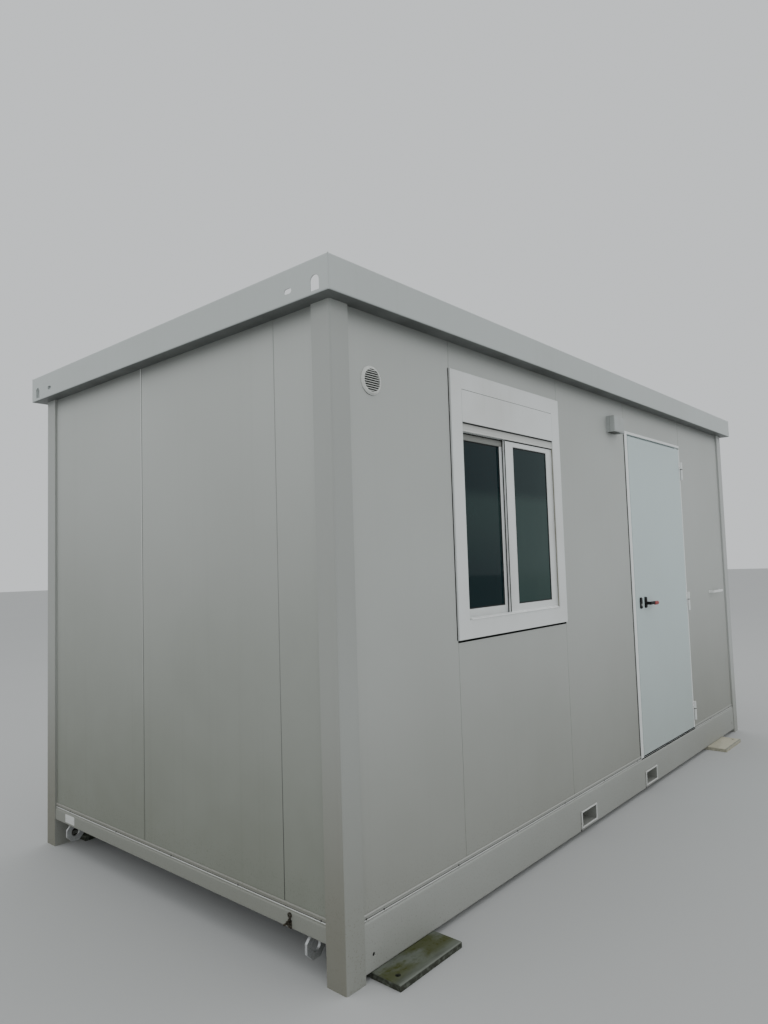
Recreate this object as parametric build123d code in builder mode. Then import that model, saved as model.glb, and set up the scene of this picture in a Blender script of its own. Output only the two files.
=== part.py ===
from build123d import *
import os

# Portable site cabin: a steel frame of corner posts, bottom rails and gutter
# rails, filled with sandwich wall panels, on four low pads. Millimetres, +Z up.
# Origin: middle of the footprint, on the ground. The front faces -Y.

# Overall frame
frame_length = 4700.0
frame_width = 2315.0
cabin_height = 2610.0
seat_gap = 0.3
swing_gap = 8.0

# Corner posts: square tubes with a rounded outer edge and a foot plate
post_size = 98.0
post_wall = 4.0
post_edge_radius = 10.0
post_soft_radius = 3.0
foot_plate = 8.0

# Roof rails: one folded sheet, an open gutter with a tall outer face
roof_overhang = 60.0
fascia_height = 138.0
rail_sheet = 3.0
rail_bend = 7.0
gutter_upstand = 38.0
top_lip = 38.0
top_lip_return = 16.0
roof_corner_radius = 6.0

# Lifting slots and lashing holes in the end faces of the roof rails
slot_from_corner = 72.0
slot_width = 46.0
slot_height = 58.0
slot_sill = 15.0
oval_from_corner = 218.0
oval_length = 40.0
oval_height = 20.0
oval_sill = 50.0

# Roof deck and ceiling
deck_edge_thickness = 18.0
deck_ridge_rise = 30.0
deck_lap = 14.0
seam_count = 7
seam_width = 22.0
seam_height = 16.0
ceiling_thickness = 40.0

# Bottom rails: folded channels, open towards the inside
rail_setback = 4.0
bottom_sheet = 4.0
bottom_bend = 8.0
bottom_lip = 20.0
sill_top = 205.0
long_rail_bottom = 24.0
long_flange = 70.0
end_rail_bottom = 141.0
end_flange = 80.0
drain_radius = 7.0
drain_from_corner = 147.0
drain_height = 84.0

# Fork pockets through both long rails
pocket_pitch = 900.0
pocket_width = 186.0
pocket_height = 88.0
pocket_wall = 5.0
pocket_bottom = 40.0
pocket_rim = 3.0
pocket_edge_radius = 6.0

# Floor
board_thickness = 22.0
joist_width = 45.0
joist_wall = 3.0
joist_count = 8
pan_sheet = 2.0

# Walls: sandwich panels standing in a folded flashing that laps up their outer face
wall_thickness = 60.0
wall_setback = 12.0
panel_seam = 0.4
panel_chamfer = 2.5
flashing_sheet = 1.5
flashing_rise = 23.0

# Panel widths along the front, from the left post to the right one
corner_panel_width = 657.0
window_panel_width = 1005.0
middle_panel_width = 910.0
door_frame_width = 1010.0

# Panel joints of the end walls, from the outer face of the front post
end_joint_near = 331.0
end_joint_far = 1317.0

# Vent grille in the corner panel
vent_from_corner = 232.0
vent_drop = 269.0
vent_radius = 58.0
vent_sleeve_radius = 49.0
vent_sleeve_wall = 3.0
vent_proud = 9.0
vent_blades = 9
vent_blade_thickness = 2.5
vent_blade_depth = 16.0
vent_blade_tilt = 38.0

# Window: trim frame with a roller shutter box over two sliding sashes
window_width = 1010.0
window_height = 1207.0
window_drop = 123.0
trim_border = 82.0
trim_proud = 10.0
trim_edge_radius = 3.0
sleeve_wall = 20.0
frame_inside_proud = 6.0
shutter_box_height = 151.0
shutter_lid_seam = 1.5
shutter_lid_thickness = 5.0
shutter_band = 40.0
slat_height = 36.0
slat_bulge = 3.0
shutter_thickness = 6.0
transom_height = 26.0
sash_setback = 12.0
sash_thickness = 18.0
track_gap = 2.0
sash_stile = 54.0
sash_rail = 52.0
meeting_stile = 82.0
meeting_offset = -30.0
sash_overlap = 32.0
sash_edge_chamfer = 3.0
glass_thickness = 8.0
glass_setback = 6.0
glass_bite = 10.0

# Door frame, leaf and hinges
over_door_height = 180.5
door_face_proud = 4.0
jamb_face = 40.0
head_face = 16.0
head_gap = 12.0
stop_width = 22.0
stop_gap = 5.0
threshold_height = 6.0
leaf_thickness = 42.0
leaf_lip = 12.0
leaf_lip_gap = 5.0
leaf_edge_chamfer = 2.0
hinge_radius = 8.0
hinge_pin_radius = 5.0
knuckle_length = 50.0
barrel_length = 82.0
hinge_axis_out = 4.0
hinge_low = 134.0
hinge_middle = 931.0
hinge_from_top = 146.0
hinge_wing = 34.0
hinge_wing_thickness = 3.0
hinge_split = 0.6
running_clearance = 0.05

# Lock plates and lever
lock_height = 1171.0
lock_plate_width = 30.0
lock_plate_height = 72.0
lock_plate_thickness = 9.0
lock_plate_chamfer = 2.5
lock_plate_rise = 5.0
cylinder_from_edge = 73.0
lever_from_edge = 152.0
lever_reach = 44.0
lever_length = 126.0
lever_cap_length = 66.0
lever_thickness = 14.0
lever_height = 20.0
neck_radius = 10.0
spindle_radius = 5.0
lever_plate_gap = 0.5

# Door stay on the right-hand panel
stay_from_corner = 268.0
stay_length = 218.0
stay_height = 1178.0
stay_width = 18.0
stay_strap = 5.0
stay_reach = 35.0
stay_bend = 8.0
stay_foot = 24.0

# Light fitting beside the door
light_width = 147.0
light_height = 100.0
light_depth = 55.0
light_edge_radius = 7.0
light_from_joint = 113.0
light_drop = 120.0

# Anchor lugs under the end rails
lug_from_corner = 215.0
lug_from_end = 56.0
lug_width = 92.0
lug_drop = 99.0
lug_thickness = 12.0
lug_hole_radius = 22.0
lug_neck = 46.0

# Earth terminal on the left end rail: a strap, an eye above it and a nut on a stud
terminal_from_corner = 293.0
terminal_bottom = 145.0
terminal_width = 18.0
terminal_stem = 8.0
terminal_thickness = 4.0
terminal_eye_height = 191.0
terminal_eye_radius = 10.0
terminal_eye_hole = 4.5
terminal_stud_height = 166.0
terminal_stud_radius = 4.0
terminal_stud_length = 26.0
terminal_nut_radius = 8.0
terminal_nut_thickness = 12.0

# Pads under the long rails
pad_from_left = 138.0
pad_from_right = 400.0
pad_length = 370.0
pad_reach = 126.0
pad_depth = 290.0
pad_hole_from_end = 43.0
pad_hole_from_edge = 48.0
pad_hole_radius = 11.0
pad_edge = 3.0

# Derived places
half_length = frame_length / 2
half_width = frame_width / 2
roof_half_length = half_length + roof_overhang
roof_half_width = half_width + roof_overhang
soffit = cabin_height - fascia_height
gutter_width = roof_overhang + post_size
span_length = frame_length - 2 * post_size
span_width = frame_width - 2 * post_size
wall_bottom = sill_top + flashing_sheet
wall_height = soffit - wall_bottom
wall_inside_x = half_length - wall_setback - wall_thickness
wall_inside_y = half_width - wall_setback - wall_thickness
panel_face_y = -half_width + wall_setback
front_start = -half_length + post_size
window_start = front_start + corner_panel_width
middle_start = window_start + window_panel_width
door_left = middle_start + middle_panel_width
door_right = door_left + door_frame_width
front_end = half_length - post_size
window_centre = window_start + window_panel_width / 2
trim_face_y = panel_face_y - trim_proud
opening_width = window_width - 2 * trim_border
window_bottom = soffit - window_drop - window_height
opening_bottom = window_bottom + trim_border
opening_top = window_bottom + window_height - trim_border
box_bottom = opening_top - shutter_box_height
window_depth_y = panel_face_y + wall_thickness + frame_inside_proud
door_face_y = panel_face_y - door_face_proud
door_top = soffit - over_door_height
leaf_left = door_left + jamb_face + swing_gap
leaf_right = door_right - jamb_face - swing_gap
leaf_lip_right = door_right - leaf_lip_gap
leaf_bottom = wall_bottom + threshold_height + swing_gap
leaf_top = door_top - head_face - head_gap
leaf_inside_y = door_face_y + leaf_thickness
hinge_x = door_right + hinge_axis_out
hinge_y = door_face_y - hinge_radius
lever_x = leaf_left + lever_from_edge

os.makedirs("parts", exist_ok=True)


def save(piece, name):
    """Label a finished piece and write it."""
    piece.part.label = name
    export_step(piece.part, f"parts/{name}.step")


# Corner posts
def corner_post(side_x, side_y):
    """One post: a tube open at the top, closed at the foot, rounded at the cabin's corner."""
    centre = (side_x * (half_length - post_size / 2), side_y * (half_width - post_size / 2))
    with BuildPart() as post:
        with BuildSketch() as outline:
            with Locations(centre):
                Rectangle(post_size, post_size)
            by_reach = outline.vertices().sort_by(lambda v: side_x * v.X + side_y * v.Y)
            fillet(by_reach[-1], post_edge_radius)
            soft = outline.vertices().sort_by(lambda v: side_x * v.X + side_y * v.Y)
            fillet(soft[0:1], post_soft_radius)
        extrude(amount=soffit)
        with BuildSketch(Plane.XY.offset(foot_plate)):
            with Locations(centre):
                Rectangle(post_size - 2 * post_wall, post_size - 2 * post_wall)
        extrude(amount=soffit - foot_plate, mode=Mode.SUBTRACT)
    return post


for post_name, side_x, side_y in (
    ("corner_post_front_left", -1, -1),
    ("corner_post_front_right", 1, -1),
    ("corner_post_back_left", -1, 1),
    ("corner_post_back_right", 1, 1),
):
    save(corner_post(side_x, side_y), post_name)


# Roof rails: the folded section stands at the rail's outer face, and the ends are mitred
def gutter_section(plane):
    """The folded gutter's section, on a plane whose first axis points inwards from the outer face."""
    with BuildSketch(plane) as section:
        with BuildLine():
            FilletPolyline(
                (gutter_width, soffit + gutter_upstand),
                (gutter_width, soffit),
                (0, soffit),
                (0, cabin_height),
                (top_lip, cabin_height),
                (top_lip, cabin_height - top_lip_return),
                radius=rail_bend,
            )
            offset(amount=rail_sheet, side=Side.RIGHT)
        make_face()
    return section.sketch


with BuildPart() as roof_rail_front:
    front_corner = Plane(origin=(-roof_half_length, -roof_half_width, 0), x_dir=(0, 1, 0), z_dir=(1, 0, 0))
    extrude(gutter_section(front_corner), amount=2 * roof_half_length)
    for side_x in (-1, 1):
        split(bisect_by=Plane(origin=(side_x * roof_half_length, -roof_half_width, 0), z_dir=(-side_x, -1, 0)))
    with BuildSketch():
        RectangleRounded(2 * roof_half_length, 2 * roof_half_width, roof_corner_radius)
    extrude(amount=cabin_height, mode=Mode.INTERSECT)
save(roof_rail_front, "roof_rail_front")

with BuildPart() as roof_rail_back:
    mirror(roof_rail_front.part, about=Plane.XZ)
save(roof_rail_back, "roof_rail_back")

with BuildPart() as roof_rail_left:
    left_corner = Plane(origin=(-roof_half_length, roof_half_width, 0), x_dir=(1, 0, 0), z_dir=(0, -1, 0))
    extrude(gutter_section(left_corner), amount=2 * roof_half_width)
    for side_y in (-1, 1):
        split(bisect_by=Plane(origin=(-roof_half_length, side_y * roof_half_width, 0), z_dir=(-1, -side_y, 0)))
    with BuildSketch():
        RectangleRounded(2 * roof_half_length, 2 * roof_half_width, roof_corner_radius)
    extrude(amount=cabin_height, mode=Mode.INTERSECT)
    with BuildSketch(Plane.YZ.offset(-roof_half_length)):
        for side_y in (-1, 1):
            arch_radius = slot_width / 2
            with Locations((side_y * (roof_half_width - slot_from_corner), soffit + slot_sill)):
                Rectangle(slot_width, slot_height - arch_radius, align=(Align.CENTER, Align.MIN))
                with Locations((0, slot_height - arch_radius)):
                    Circle(arch_radius)
            with Locations((side_y * (roof_half_width - oval_from_corner), soffit + oval_sill)):
                SlotOverall(oval_length, oval_height)
    extrude(amount=2 * rail_sheet, mode=Mode.SUBTRACT)
save(roof_rail_left, "roof_rail_left")

with BuildPart() as roof_rail_right:
    mirror(roof_rail_left.part, about=Plane.YZ)
save(roof_rail_right, "roof_rail_right")

# Roof deck: a low ridge along X on the gutter upstands, with raised seams across it
deck_underside = soffit + gutter_upstand
deck_half_length = roof_half_length - gutter_width + deck_lap
deck_half_width = roof_half_width - gutter_width + deck_lap
with BuildPart() as roof_deck:
    with BuildSketch(Plane.YZ.offset(-deck_half_length)):
        with BuildLine():
            Polyline(
                (-deck_half_width, deck_underside),
                (deck_half_width, deck_underside),
                (deck_half_width, deck_underside + deck_edge_thickness),
                (0, deck_underside + deck_edge_thickness + deck_ridge_rise),
                (-deck_half_width, deck_underside + deck_edge_thickness),
                close=True,
            )
        make_face()
    extrude(amount=2 * deck_half_length)
    seam_pitch = 2 * deck_half_length / (seam_count + 1)
    for seam in range(seam_count):
        seam_x = -deck_half_length + (seam + 1) * seam_pitch - seam_width / 2
        with BuildSketch(Plane.YZ.offset(seam_x)):
            with BuildLine():
                Polyline(
                    (-deck_half_width, deck_underside),
                    (deck_half_width, deck_underside),
                    (deck_half_width, deck_underside + deck_edge_thickness + seam_height),
                    (0, deck_underside + deck_edge_thickness + deck_ridge_rise + seam_height),
                    (-deck_half_width, deck_underside + deck_edge_thickness + seam_height),
                    close=True,
                )
            make_face()
        extrude(amount=seam_width)
save(roof_deck, "roof_deck")

# Ceiling: hangs under the gutters' bottom flange, notched round the posts
with BuildPart() as ceiling:
    with BuildSketch(Plane.XY.offset(soffit - ceiling_thickness)):
        Rectangle(2 * (wall_inside_x - seat_gap), 2 * (wall_inside_y - seat_gap))
        notch = 2 * (post_size + seat_gap)
        with GridLocations(frame_length, frame_width, 2, 2):
            Rectangle(notch, notch, mode=Mode.SUBTRACT)
    extrude(amount=ceiling_thickness)
save(ceiling, "ceiling")


# Bottom rails
def channel_section(plane, bottom, flange):
    """A lipped channel's section, with its web at zero and its flanges along the plane's first axis."""
    with BuildSketch(plane) as section:
        with BuildLine():
            FilletPolyline(
                (flange, sill_top - bottom_lip),
                (flange, sill_top),
                (0, sill_top),
                (0, bottom),
                (flange, bottom),
                (flange, bottom + bottom_lip),
                radius=bottom_bend,
            )
            offset(amount=bottom_sheet, side=Side.LEFT)
        make_face()
    return section.sketch


web_face_y = -half_width + rail_setback
web_face_x = -half_length + rail_setback
pocket_centre_z = pocket_bottom + pocket_height / 2
with BuildPart() as bottom_rail_front:
    front_start_plane = Plane(origin=(-span_length / 2, web_face_y, 0), x_dir=(0, 1, 0), z_dir=(1, 0, 0))
    extrude(channel_section(front_start_plane, long_rail_bottom, long_flange), amount=span_length)
    with BuildSketch(Plane.XZ.offset(-web_face_y)):
        with Locations((-pocket_pitch / 2, pocket_centre_z), (pocket_pitch / 2, pocket_centre_z)):
            Rectangle(pocket_width + 2 * seat_gap, pocket_height + 2 * seat_gap)
        for side_x in (-1, 1):
            with Locations((side_x * (half_length - drain_from_corner), drain_height)):
                Circle(drain_radius)
    extrude(amount=-2 * bottom_sheet, mode=Mode.SUBTRACT)
    with BuildSketch(Plane.XZ.offset(-web_face_y - 2 * bottom_sheet)):
        with Locations((-pocket_pitch / 2, pocket_centre_z), (pocket_pitch / 2, pocket_centre_z)):
            Rectangle(pocket_width + 2 * seat_gap, pocket_height + 2 * seat_gap)
    extrude(amount=-long_flange, mode=Mode.SUBTRACT)
save(bottom_rail_front, "bottom_rail_front")

with BuildPart() as bottom_rail_back:
    mirror(bottom_rail_front.part, about=Plane.XZ)
save(bottom_rail_back, "bottom_rail_back")

with BuildPart() as bottom_rail_left:
    left_start_plane = Plane(origin=(web_face_x, span_width / 2, 0), x_dir=(1, 0, 0), z_dir=(0, -1, 0))
    extrude(channel_section(left_start_plane, end_rail_bottom, end_flange), amount=span_width)
save(bottom_rail_left, "bottom_rail_left")

with BuildPart() as bottom_rail_right:
    mirror(bottom_rail_left.part, about=Plane.YZ)
save(bottom_rail_right, "bottom_rail_right")

# Fork pockets: two tubes from rail to rail, each with a rim standing out of the web
with BuildPart() as fork_pockets:
    with BuildSketch(Plane.XZ.offset(-web_face_y + pocket_rim)):
        with Locations((-pocket_pitch / 2, pocket_centre_z), (pocket_pitch / 2, pocket_centre_z)):
            Rectangle(pocket_width, pocket_height)
            RectangleRounded(
                pocket_width - 2 * pocket_wall,
                pocket_height - 2 * pocket_wall,
                pocket_edge_radius,
                mode=Mode.SUBTRACT,
            )
    extrude(amount=2 * (web_face_y - pocket_rim))
save(fork_pockets, "fork_pockets")

# Floor: joists between the long rails' webs, a pan under them and a board on them
joist_bottom = end_rail_bottom
joist_top = sill_top - board_thickness
joist_height = joist_top - joist_bottom
joist_field = span_length - 2 * joist_width
with BuildPart() as floor_joists:
    with BuildSketch(Plane.XZ.offset(-web_face_y - bottom_sheet)):
        with Locations((0, (joist_bottom + joist_top) / 2)):
            with GridLocations(joist_field / (joist_count - 1), 0, joist_count, 1):
                Rectangle(joist_width, joist_height)
                with Locations((joist_wall, 0)):
                    Rectangle(joist_width, joist_height - 2 * joist_wall, mode=Mode.SUBTRACT)
    extrude(amount=2 * (web_face_y + bottom_sheet))
save(floor_joists, "floor_joists")

floor_half_length = half_length - rail_setback - end_flange - seat_gap
floor_half_width = half_width - rail_setback - long_flange - seat_gap
with BuildPart() as floor_board:
    with BuildSketch(Plane.XY.offset(joist_top)):
        Rectangle(2 * floor_half_length, 2 * floor_half_width)
        with GridLocations(frame_length, frame_width, 2, 2):
            Rectangle(2 * (post_size + seat_gap), 2 * (post_size + seat_gap), mode=Mode.SUBTRACT)
    extrude(amount=board_thickness)
save(floor_board, "floor_board")

with BuildPart() as floor_pan:
    with BuildSketch(Plane.XY.offset(joist_bottom - pan_sheet)):
        Rectangle(span_length, 2 * floor_half_width)
    extrude(amount=pan_sheet)
save(floor_pan, "floor_pan")

# Drip flashing: four folded strips under the walls, each with a leg up the panels' outer
# face. The front one's leg stops at the door frame.
flashing_inside = wall_setback + wall_thickness
flashing_face = wall_setback - flashing_sheet
flashing_top = sill_top + flashing_rise
with BuildPart() as drip_flashing:
    for side_y in (-1, 1):
        with BuildSketch(Plane.YZ.offset(-span_length / 2)):
            with BuildLine():
                Polyline(
                    (side_y * (half_width - flashing_inside), sill_top),
                    (side_y * (half_width - flashing_face), sill_top),
                    (side_y * (half_width - flashing_face), flashing_top),
                    (side_y * (half_width - wall_setback), flashing_top),
                    (side_y * (half_width - wall_setback), wall_bottom),
                    (side_y * (half_width - flashing_inside), wall_bottom),
                    close=True,
                )
            make_face()
        extrude(amount=span_length)
    for side_x in (-1, 1):
        with BuildSketch(Plane.XZ.offset(span_width / 2)):
            with BuildLine():
                Polyline(
                    (side_x * (half_length - flashing_inside), sill_top),
                    (side_x * (half_length - flashing_face), sill_top),
                    (side_x * (half_length - flashing_face), flashing_top),
                    (side_x * (half_length - wall_setback), flashing_top),
                    (side_x * (half_length - wall_setback), wall_bottom),
                    (side_x * (half_length - flashing_inside), wall_bottom),
                    close=True,
                )
            make_face()
        extrude(amount=-span_width)
    with BuildSketch(Plane.XY.offset(wall_bottom)):
        with Locations(((door_left + door_right) / 2, -half_width + wall_setback)):
            Rectangle(door_frame_width, 2 * wall_setback)
    extrude(amount=flashing_rise, mode=Mode.SUBTRACT)
save(drip_flashing, "drip_flashing")


# Wall panels
def long_panel(start, end, bottom, top, side_y):
    """A slab of a long wall, chamfered along the upright edges of its outer face."""
    with BuildPart() as panel:
        with BuildSketch(Plane.XY.offset(bottom)):
            with Locations(((start + end) / 2, side_y * (half_width - wall_setback - wall_thickness / 2))):
                Rectangle(end - start - panel_seam, wall_thickness)
        extrude(amount=top - bottom)
        upright = panel.edges().filter_by(Axis.Z).group_by(Axis.Y)
        chamfer(upright[0 if side_y < 0 else -1], panel_chamfer)
    return panel


def end_panel(start, end, side_x):
    """A slab of an end wall, chamfered along the upright edges of its outer face."""
    with BuildPart() as panel:
        with BuildSketch(Plane.XY.offset(wall_bottom)):
            with Locations((side_x * (half_length - wall_setback - wall_thickness / 2), (start + end) / 2)):
                Rectangle(wall_thickness, end - start - panel_seam)
        extrude(amount=wall_height)
        upright = panel.edges().filter_by(Axis.Z).group_by(Axis.X)
        chamfer(upright[0 if side_x < 0 else -1], panel_chamfer)
    return panel


vent_height = soffit - vent_drop
with BuildPart() as front_panel_corner:
    add(long_panel(front_start, window_start, wall_bottom, soffit, -1).part)
    with BuildSketch(Plane.XZ.offset(-panel_face_y)):
        with Locations((-half_length + vent_from_corner, vent_height)):
            Circle(vent_sleeve_radius + seat_gap)
    extrude(amount=-wall_thickness, mode=Mode.SUBTRACT)
save(front_panel_corner, "front_panel_corner")

sleeve_width = opening_width + 2 * sleeve_wall
sleeve_height = window_height - 2 * (trim_border - sleeve_wall)
window_centre_z = window_bottom + window_height / 2
with BuildPart() as front_panel_window:
    add(long_panel(window_start, middle_start, wall_bottom, soffit, -1).part)
    with BuildSketch(Plane.XZ.offset(-panel_face_y)):
        with Locations((window_centre, window_centre_z)):
            Rectangle(sleeve_width + 2 * seat_gap, sleeve_height + 2 * seat_gap)
    extrude(amount=-wall_thickness, mode=Mode.SUBTRACT)
save(front_panel_window, "front_panel_window")

save(long_panel(middle_start, door_left, wall_bottom, soffit, -1), "front_panel_middle")
save(long_panel(door_left, door_right, door_top, soffit, -1), "front_panel_over_door")
save(long_panel(door_right, front_end, wall_bottom, soffit, -1), "front_panel_right")

# The back and end walls: plain panels side by side, a seam apart
back_joints = [front_start, window_start, middle_start, door_left, door_right, front_end]
with BuildPart() as back_wall:
    for start, end in zip(back_joints, back_joints[1:]):
        add(long_panel(start, end, wall_bottom, soffit, 1).part)
save(back_wall, "back_wall")

end_joints = [
    -half_width + post_size,
    -half_width + end_joint_near,
    -half_width + end_joint_far,
    half_width - post_size,
]
for wall_name, side_x in (("left_wall", -1), ("right_wall", 1)):
    with BuildPart() as end_wall:
        for start, end in zip(end_joints, end_joints[1:]):
            add(end_panel(start, end, side_x).part)
    save(end_wall, wall_name)

# Vent grille: a bevelled ring and a sleeve through the panel, with tilted blades across
vent_x = -half_length + vent_from_corner
vent_bore = vent_sleeve_radius - vent_sleeve_wall
blade_pitch = 2 * vent_bore / (vent_blades + 1)
with BuildPart() as vent_blade_set:
    for blade in range(vent_blades):
        blade_plane = Plane(
            origin=(vent_x, panel_face_y - vent_proud + vent_blade_depth / 2, vent_height),
            x_dir=(1, 0, 0),
            z_dir=(0, 0, 1),
        ).offset(-vent_bore + (blade + 1) * blade_pitch)
        with BuildSketch(blade_plane.rotated((vent_blade_tilt, 0, 0))):
            Rectangle(2 * vent_bore, vent_blade_depth)
        extrude(amount=vent_blade_thickness / 2, both=True)
    with BuildSketch(Plane.XZ.offset(-panel_face_y + vent_proud)):
        with Locations((vent_x, vent_height)):
            Circle(vent_bore + vent_sleeve_wall / 2)
    extrude(amount=-(vent_proud + vent_blade_depth), mode=Mode.INTERSECT)
with BuildPart() as vent_grille:
    with BuildSketch(Plane(origin=(vent_x, panel_face_y, vent_height), x_dir=(1, 0, 0), z_dir=(0, 0, 1))):
        with BuildLine():
            Polyline((vent_bore, wall_thickness), (vent_sleeve_radius, wall_thickness), (vent_sleeve_radius, 0))
            Line((vent_sleeve_radius, 0), (vent_radius, 0))
            rim = Line((vent_radius, 0), (vent_radius, -vent_proud / 3))
            Polyline(
                rim @ 1,
                (vent_sleeve_radius, -vent_proud),
                (vent_bore, -vent_proud),
                (vent_bore, wall_thickness),
            )
        make_face()
    revolve(axis=Axis((vent_x, panel_face_y, vent_height), (0, 1, 0)))
    add(vent_blade_set.part)
save(vent_grille, "vent_grille")

# Window frame: a proud trim ring, a sleeve through the wall and a transom under the shutter box
with BuildPart() as window_frame:
    with BuildSketch(Plane.XZ.offset(-panel_face_y)):
        with Locations((window_centre, window_centre_z)):
            Rectangle(window_width, window_height)
            Rectangle(opening_width, window_height - 2 * trim_border, mode=Mode.SUBTRACT)
    extrude(amount=trim_proud)
    fillet(window_frame.faces().sort_by(Axis.Y)[0].outer_wire().edges(), trim_edge_radius)
    with BuildSketch(Plane.XZ.offset(-panel_face_y)):
        with Locations((window_centre, window_centre_z)):
            Rectangle(sleeve_width, sleeve_height)
            Rectangle(opening_width, window_height - 2 * trim_border, mode=Mode.SUBTRACT)
    extrude(amount=-(wall_thickness + frame_inside_proud))
    with BuildSketch(Plane.XZ.offset(-trim_face_y - sash_setback)):
        with Locations((window_centre, box_bottom - transom_height / 2)):
            Rectangle(opening_width, transom_height)
    extrude(amount=-(window_depth_y - trim_face_y - sash_setback))
save(window_frame, "window_frame")

# Shutter box: a flush lid and the closed box behind it
box_back_y = window_depth_y
with BuildPart() as shutter_box:
    with BuildSketch(Plane.XZ.offset(-trim_face_y)):
        with Locations((window_centre, box_bottom + shutter_box_height / 2)):
            Rectangle(opening_width - 2 * shutter_lid_seam, shutter_box_height - 2 * shutter_lid_seam)
    extrude(amount=-shutter_lid_thickness)
    with BuildSketch(Plane.XZ.offset(-trim_face_y - sash_setback - shutter_thickness)):
        with Locations((window_centre, box_bottom + shutter_box_height / 2)):
            Rectangle(opening_width - 2 * seat_gap, shutter_box_height - 2 * seat_gap)
    extrude(amount=-(box_back_y - trim_face_y - sash_setback - shutter_thickness))
    with BuildSketch(Plane.XY.offset(opening_top - shutter_lid_seam)):
        bridge_front = trim_face_y + shutter_lid_thickness / 2
        bridge_back = trim_face_y + sash_setback + 2 * shutter_thickness
        with Locations((window_centre, (bridge_front + bridge_back) / 2)):
            Rectangle(opening_width - 4 * shutter_lid_seam, bridge_back - bridge_front)
    extrude(amount=-(shutter_box_height / 2))
save(shutter_box, "shutter_box")

# Shutter slats: an end bar and the lowest two curved slats hang between the opening's
# sides, and the upper one is tucked behind the lid
slat_face_y = trim_face_y + shutter_lid_thickness + seat_gap
slat_back_y = slat_face_y + shutter_thickness
end_bar_bottom = box_bottom - shutter_band
end_bar_top = box_bottom - slat_height + slat_bulge
with BuildPart() as shutter_slats:
    with BuildSketch(Plane.YZ.offset(window_centre - opening_width / 2 + seat_gap)):
        with BuildLine():
            Polyline(
                (slat_face_y, end_bar_top),
                (slat_face_y, end_bar_bottom),
                (slat_back_y, end_bar_bottom),
                (slat_back_y, end_bar_top + 2 * slat_height),
                (slat_face_y + slat_bulge, end_bar_top + 2 * slat_height),
            )
            for slat in (1, 0):
                ThreePointArc(
                    (slat_face_y + slat_bulge, end_bar_top + (slat + 1) * slat_height),
                    (slat_face_y, end_bar_top + (slat + 0.5) * slat_height),
                    (slat_face_y + slat_bulge, end_bar_top + slat * slat_height),
                )
            Line((slat_face_y + slat_bulge, end_bar_top), (slat_face_y, end_bar_top))
        make_face()
    extrude(amount=opening_width - 2 * seat_gap)
save(shutter_slats, "shutter_slats")


# Sliding sashes, each with a rebate behind for its pane
opening_left = window_centre - opening_width / 2
opening_right = window_centre + opening_width / 2
meeting_x = window_centre + meeting_offset
sash_bottom = opening_bottom + seat_gap
sash_top = box_bottom - transom_height - seat_gap
outer_sash_y = trim_face_y + sash_setback
inner_sash_y = outer_sash_y + sash_thickness + track_gap


def sash(left, right, face_y, left_stile, right_stile):
    """A sash frame: chamfered front opening and a wider rebate at its back."""
    pane_left = left + left_stile
    pane_right = right - right_stile
    pane_bottom = sash_bottom + sash_rail
    pane_top = sash_top - sash_rail
    middle = ((pane_left + pane_right) / 2, (pane_bottom + pane_top) / 2)
    with BuildPart() as frame:
        with BuildSketch(Plane.XZ.offset(-face_y)):
            with Locations(((left + right) / 2, (sash_bottom + sash_top) / 2)):
                Rectangle(right - left, sash_top - sash_bottom)
            with Locations(middle):
                Rectangle(pane_right - pane_left, pane_top - pane_bottom, mode=Mode.SUBTRACT)
        extrude(amount=-sash_thickness)
        front = frame.faces().sort_by(Axis.Y)[0]
        chamfer(front.inner_wires()[0].edges(), sash_edge_chamfer)
        with BuildSketch(Plane.XZ.offset(-face_y - glass_setback)):
            with Locations(middle):
                Rectangle(pane_right - pane_left + 2 * glass_bite, pane_top - pane_bottom + 2 * glass_bite)
        extrude(amount=-sash_thickness, mode=Mode.SUBTRACT)
    return frame


def pane_box(left, right, face_y, left_stile, right_stile):
    """Centre, width and height of the pane that fills one sash's rebate."""
    width = right - left - left_stile - right_stile + 2 * glass_bite - 2 * seat_gap
    height = sash_top - sash_bottom - 2 * sash_rail + 2 * glass_bite - 2 * seat_gap
    centre_x = (left + left_stile + right - right_stile) / 2
    return centre_x, face_y + glass_setback, width, height


left_sash_place = (opening_left + seat_gap, meeting_x + sash_overlap / 2, inner_sash_y, sash_stile, sash_stile)
right_sash_place = (meeting_x - sash_overlap / 2, opening_right - seat_gap, outer_sash_y, meeting_stile, sash_stile)
save(sash(*left_sash_place), "window_sash_left")
save(sash(*right_sash_place), "window_sash_right")

with BuildPart() as window_glass:
    for place in (left_sash_place, right_sash_place):
        centre_x, glass_y, glass_width, glass_height = pane_box(*place)
        with BuildSketch(Plane.XZ.offset(-glass_y)):
            with Locations((centre_x, (sash_bottom + sash_top) / 2)):
                Rectangle(glass_width, glass_height)
        extrude(amount=-glass_thickness)
save(window_glass, "window_glass")

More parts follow.
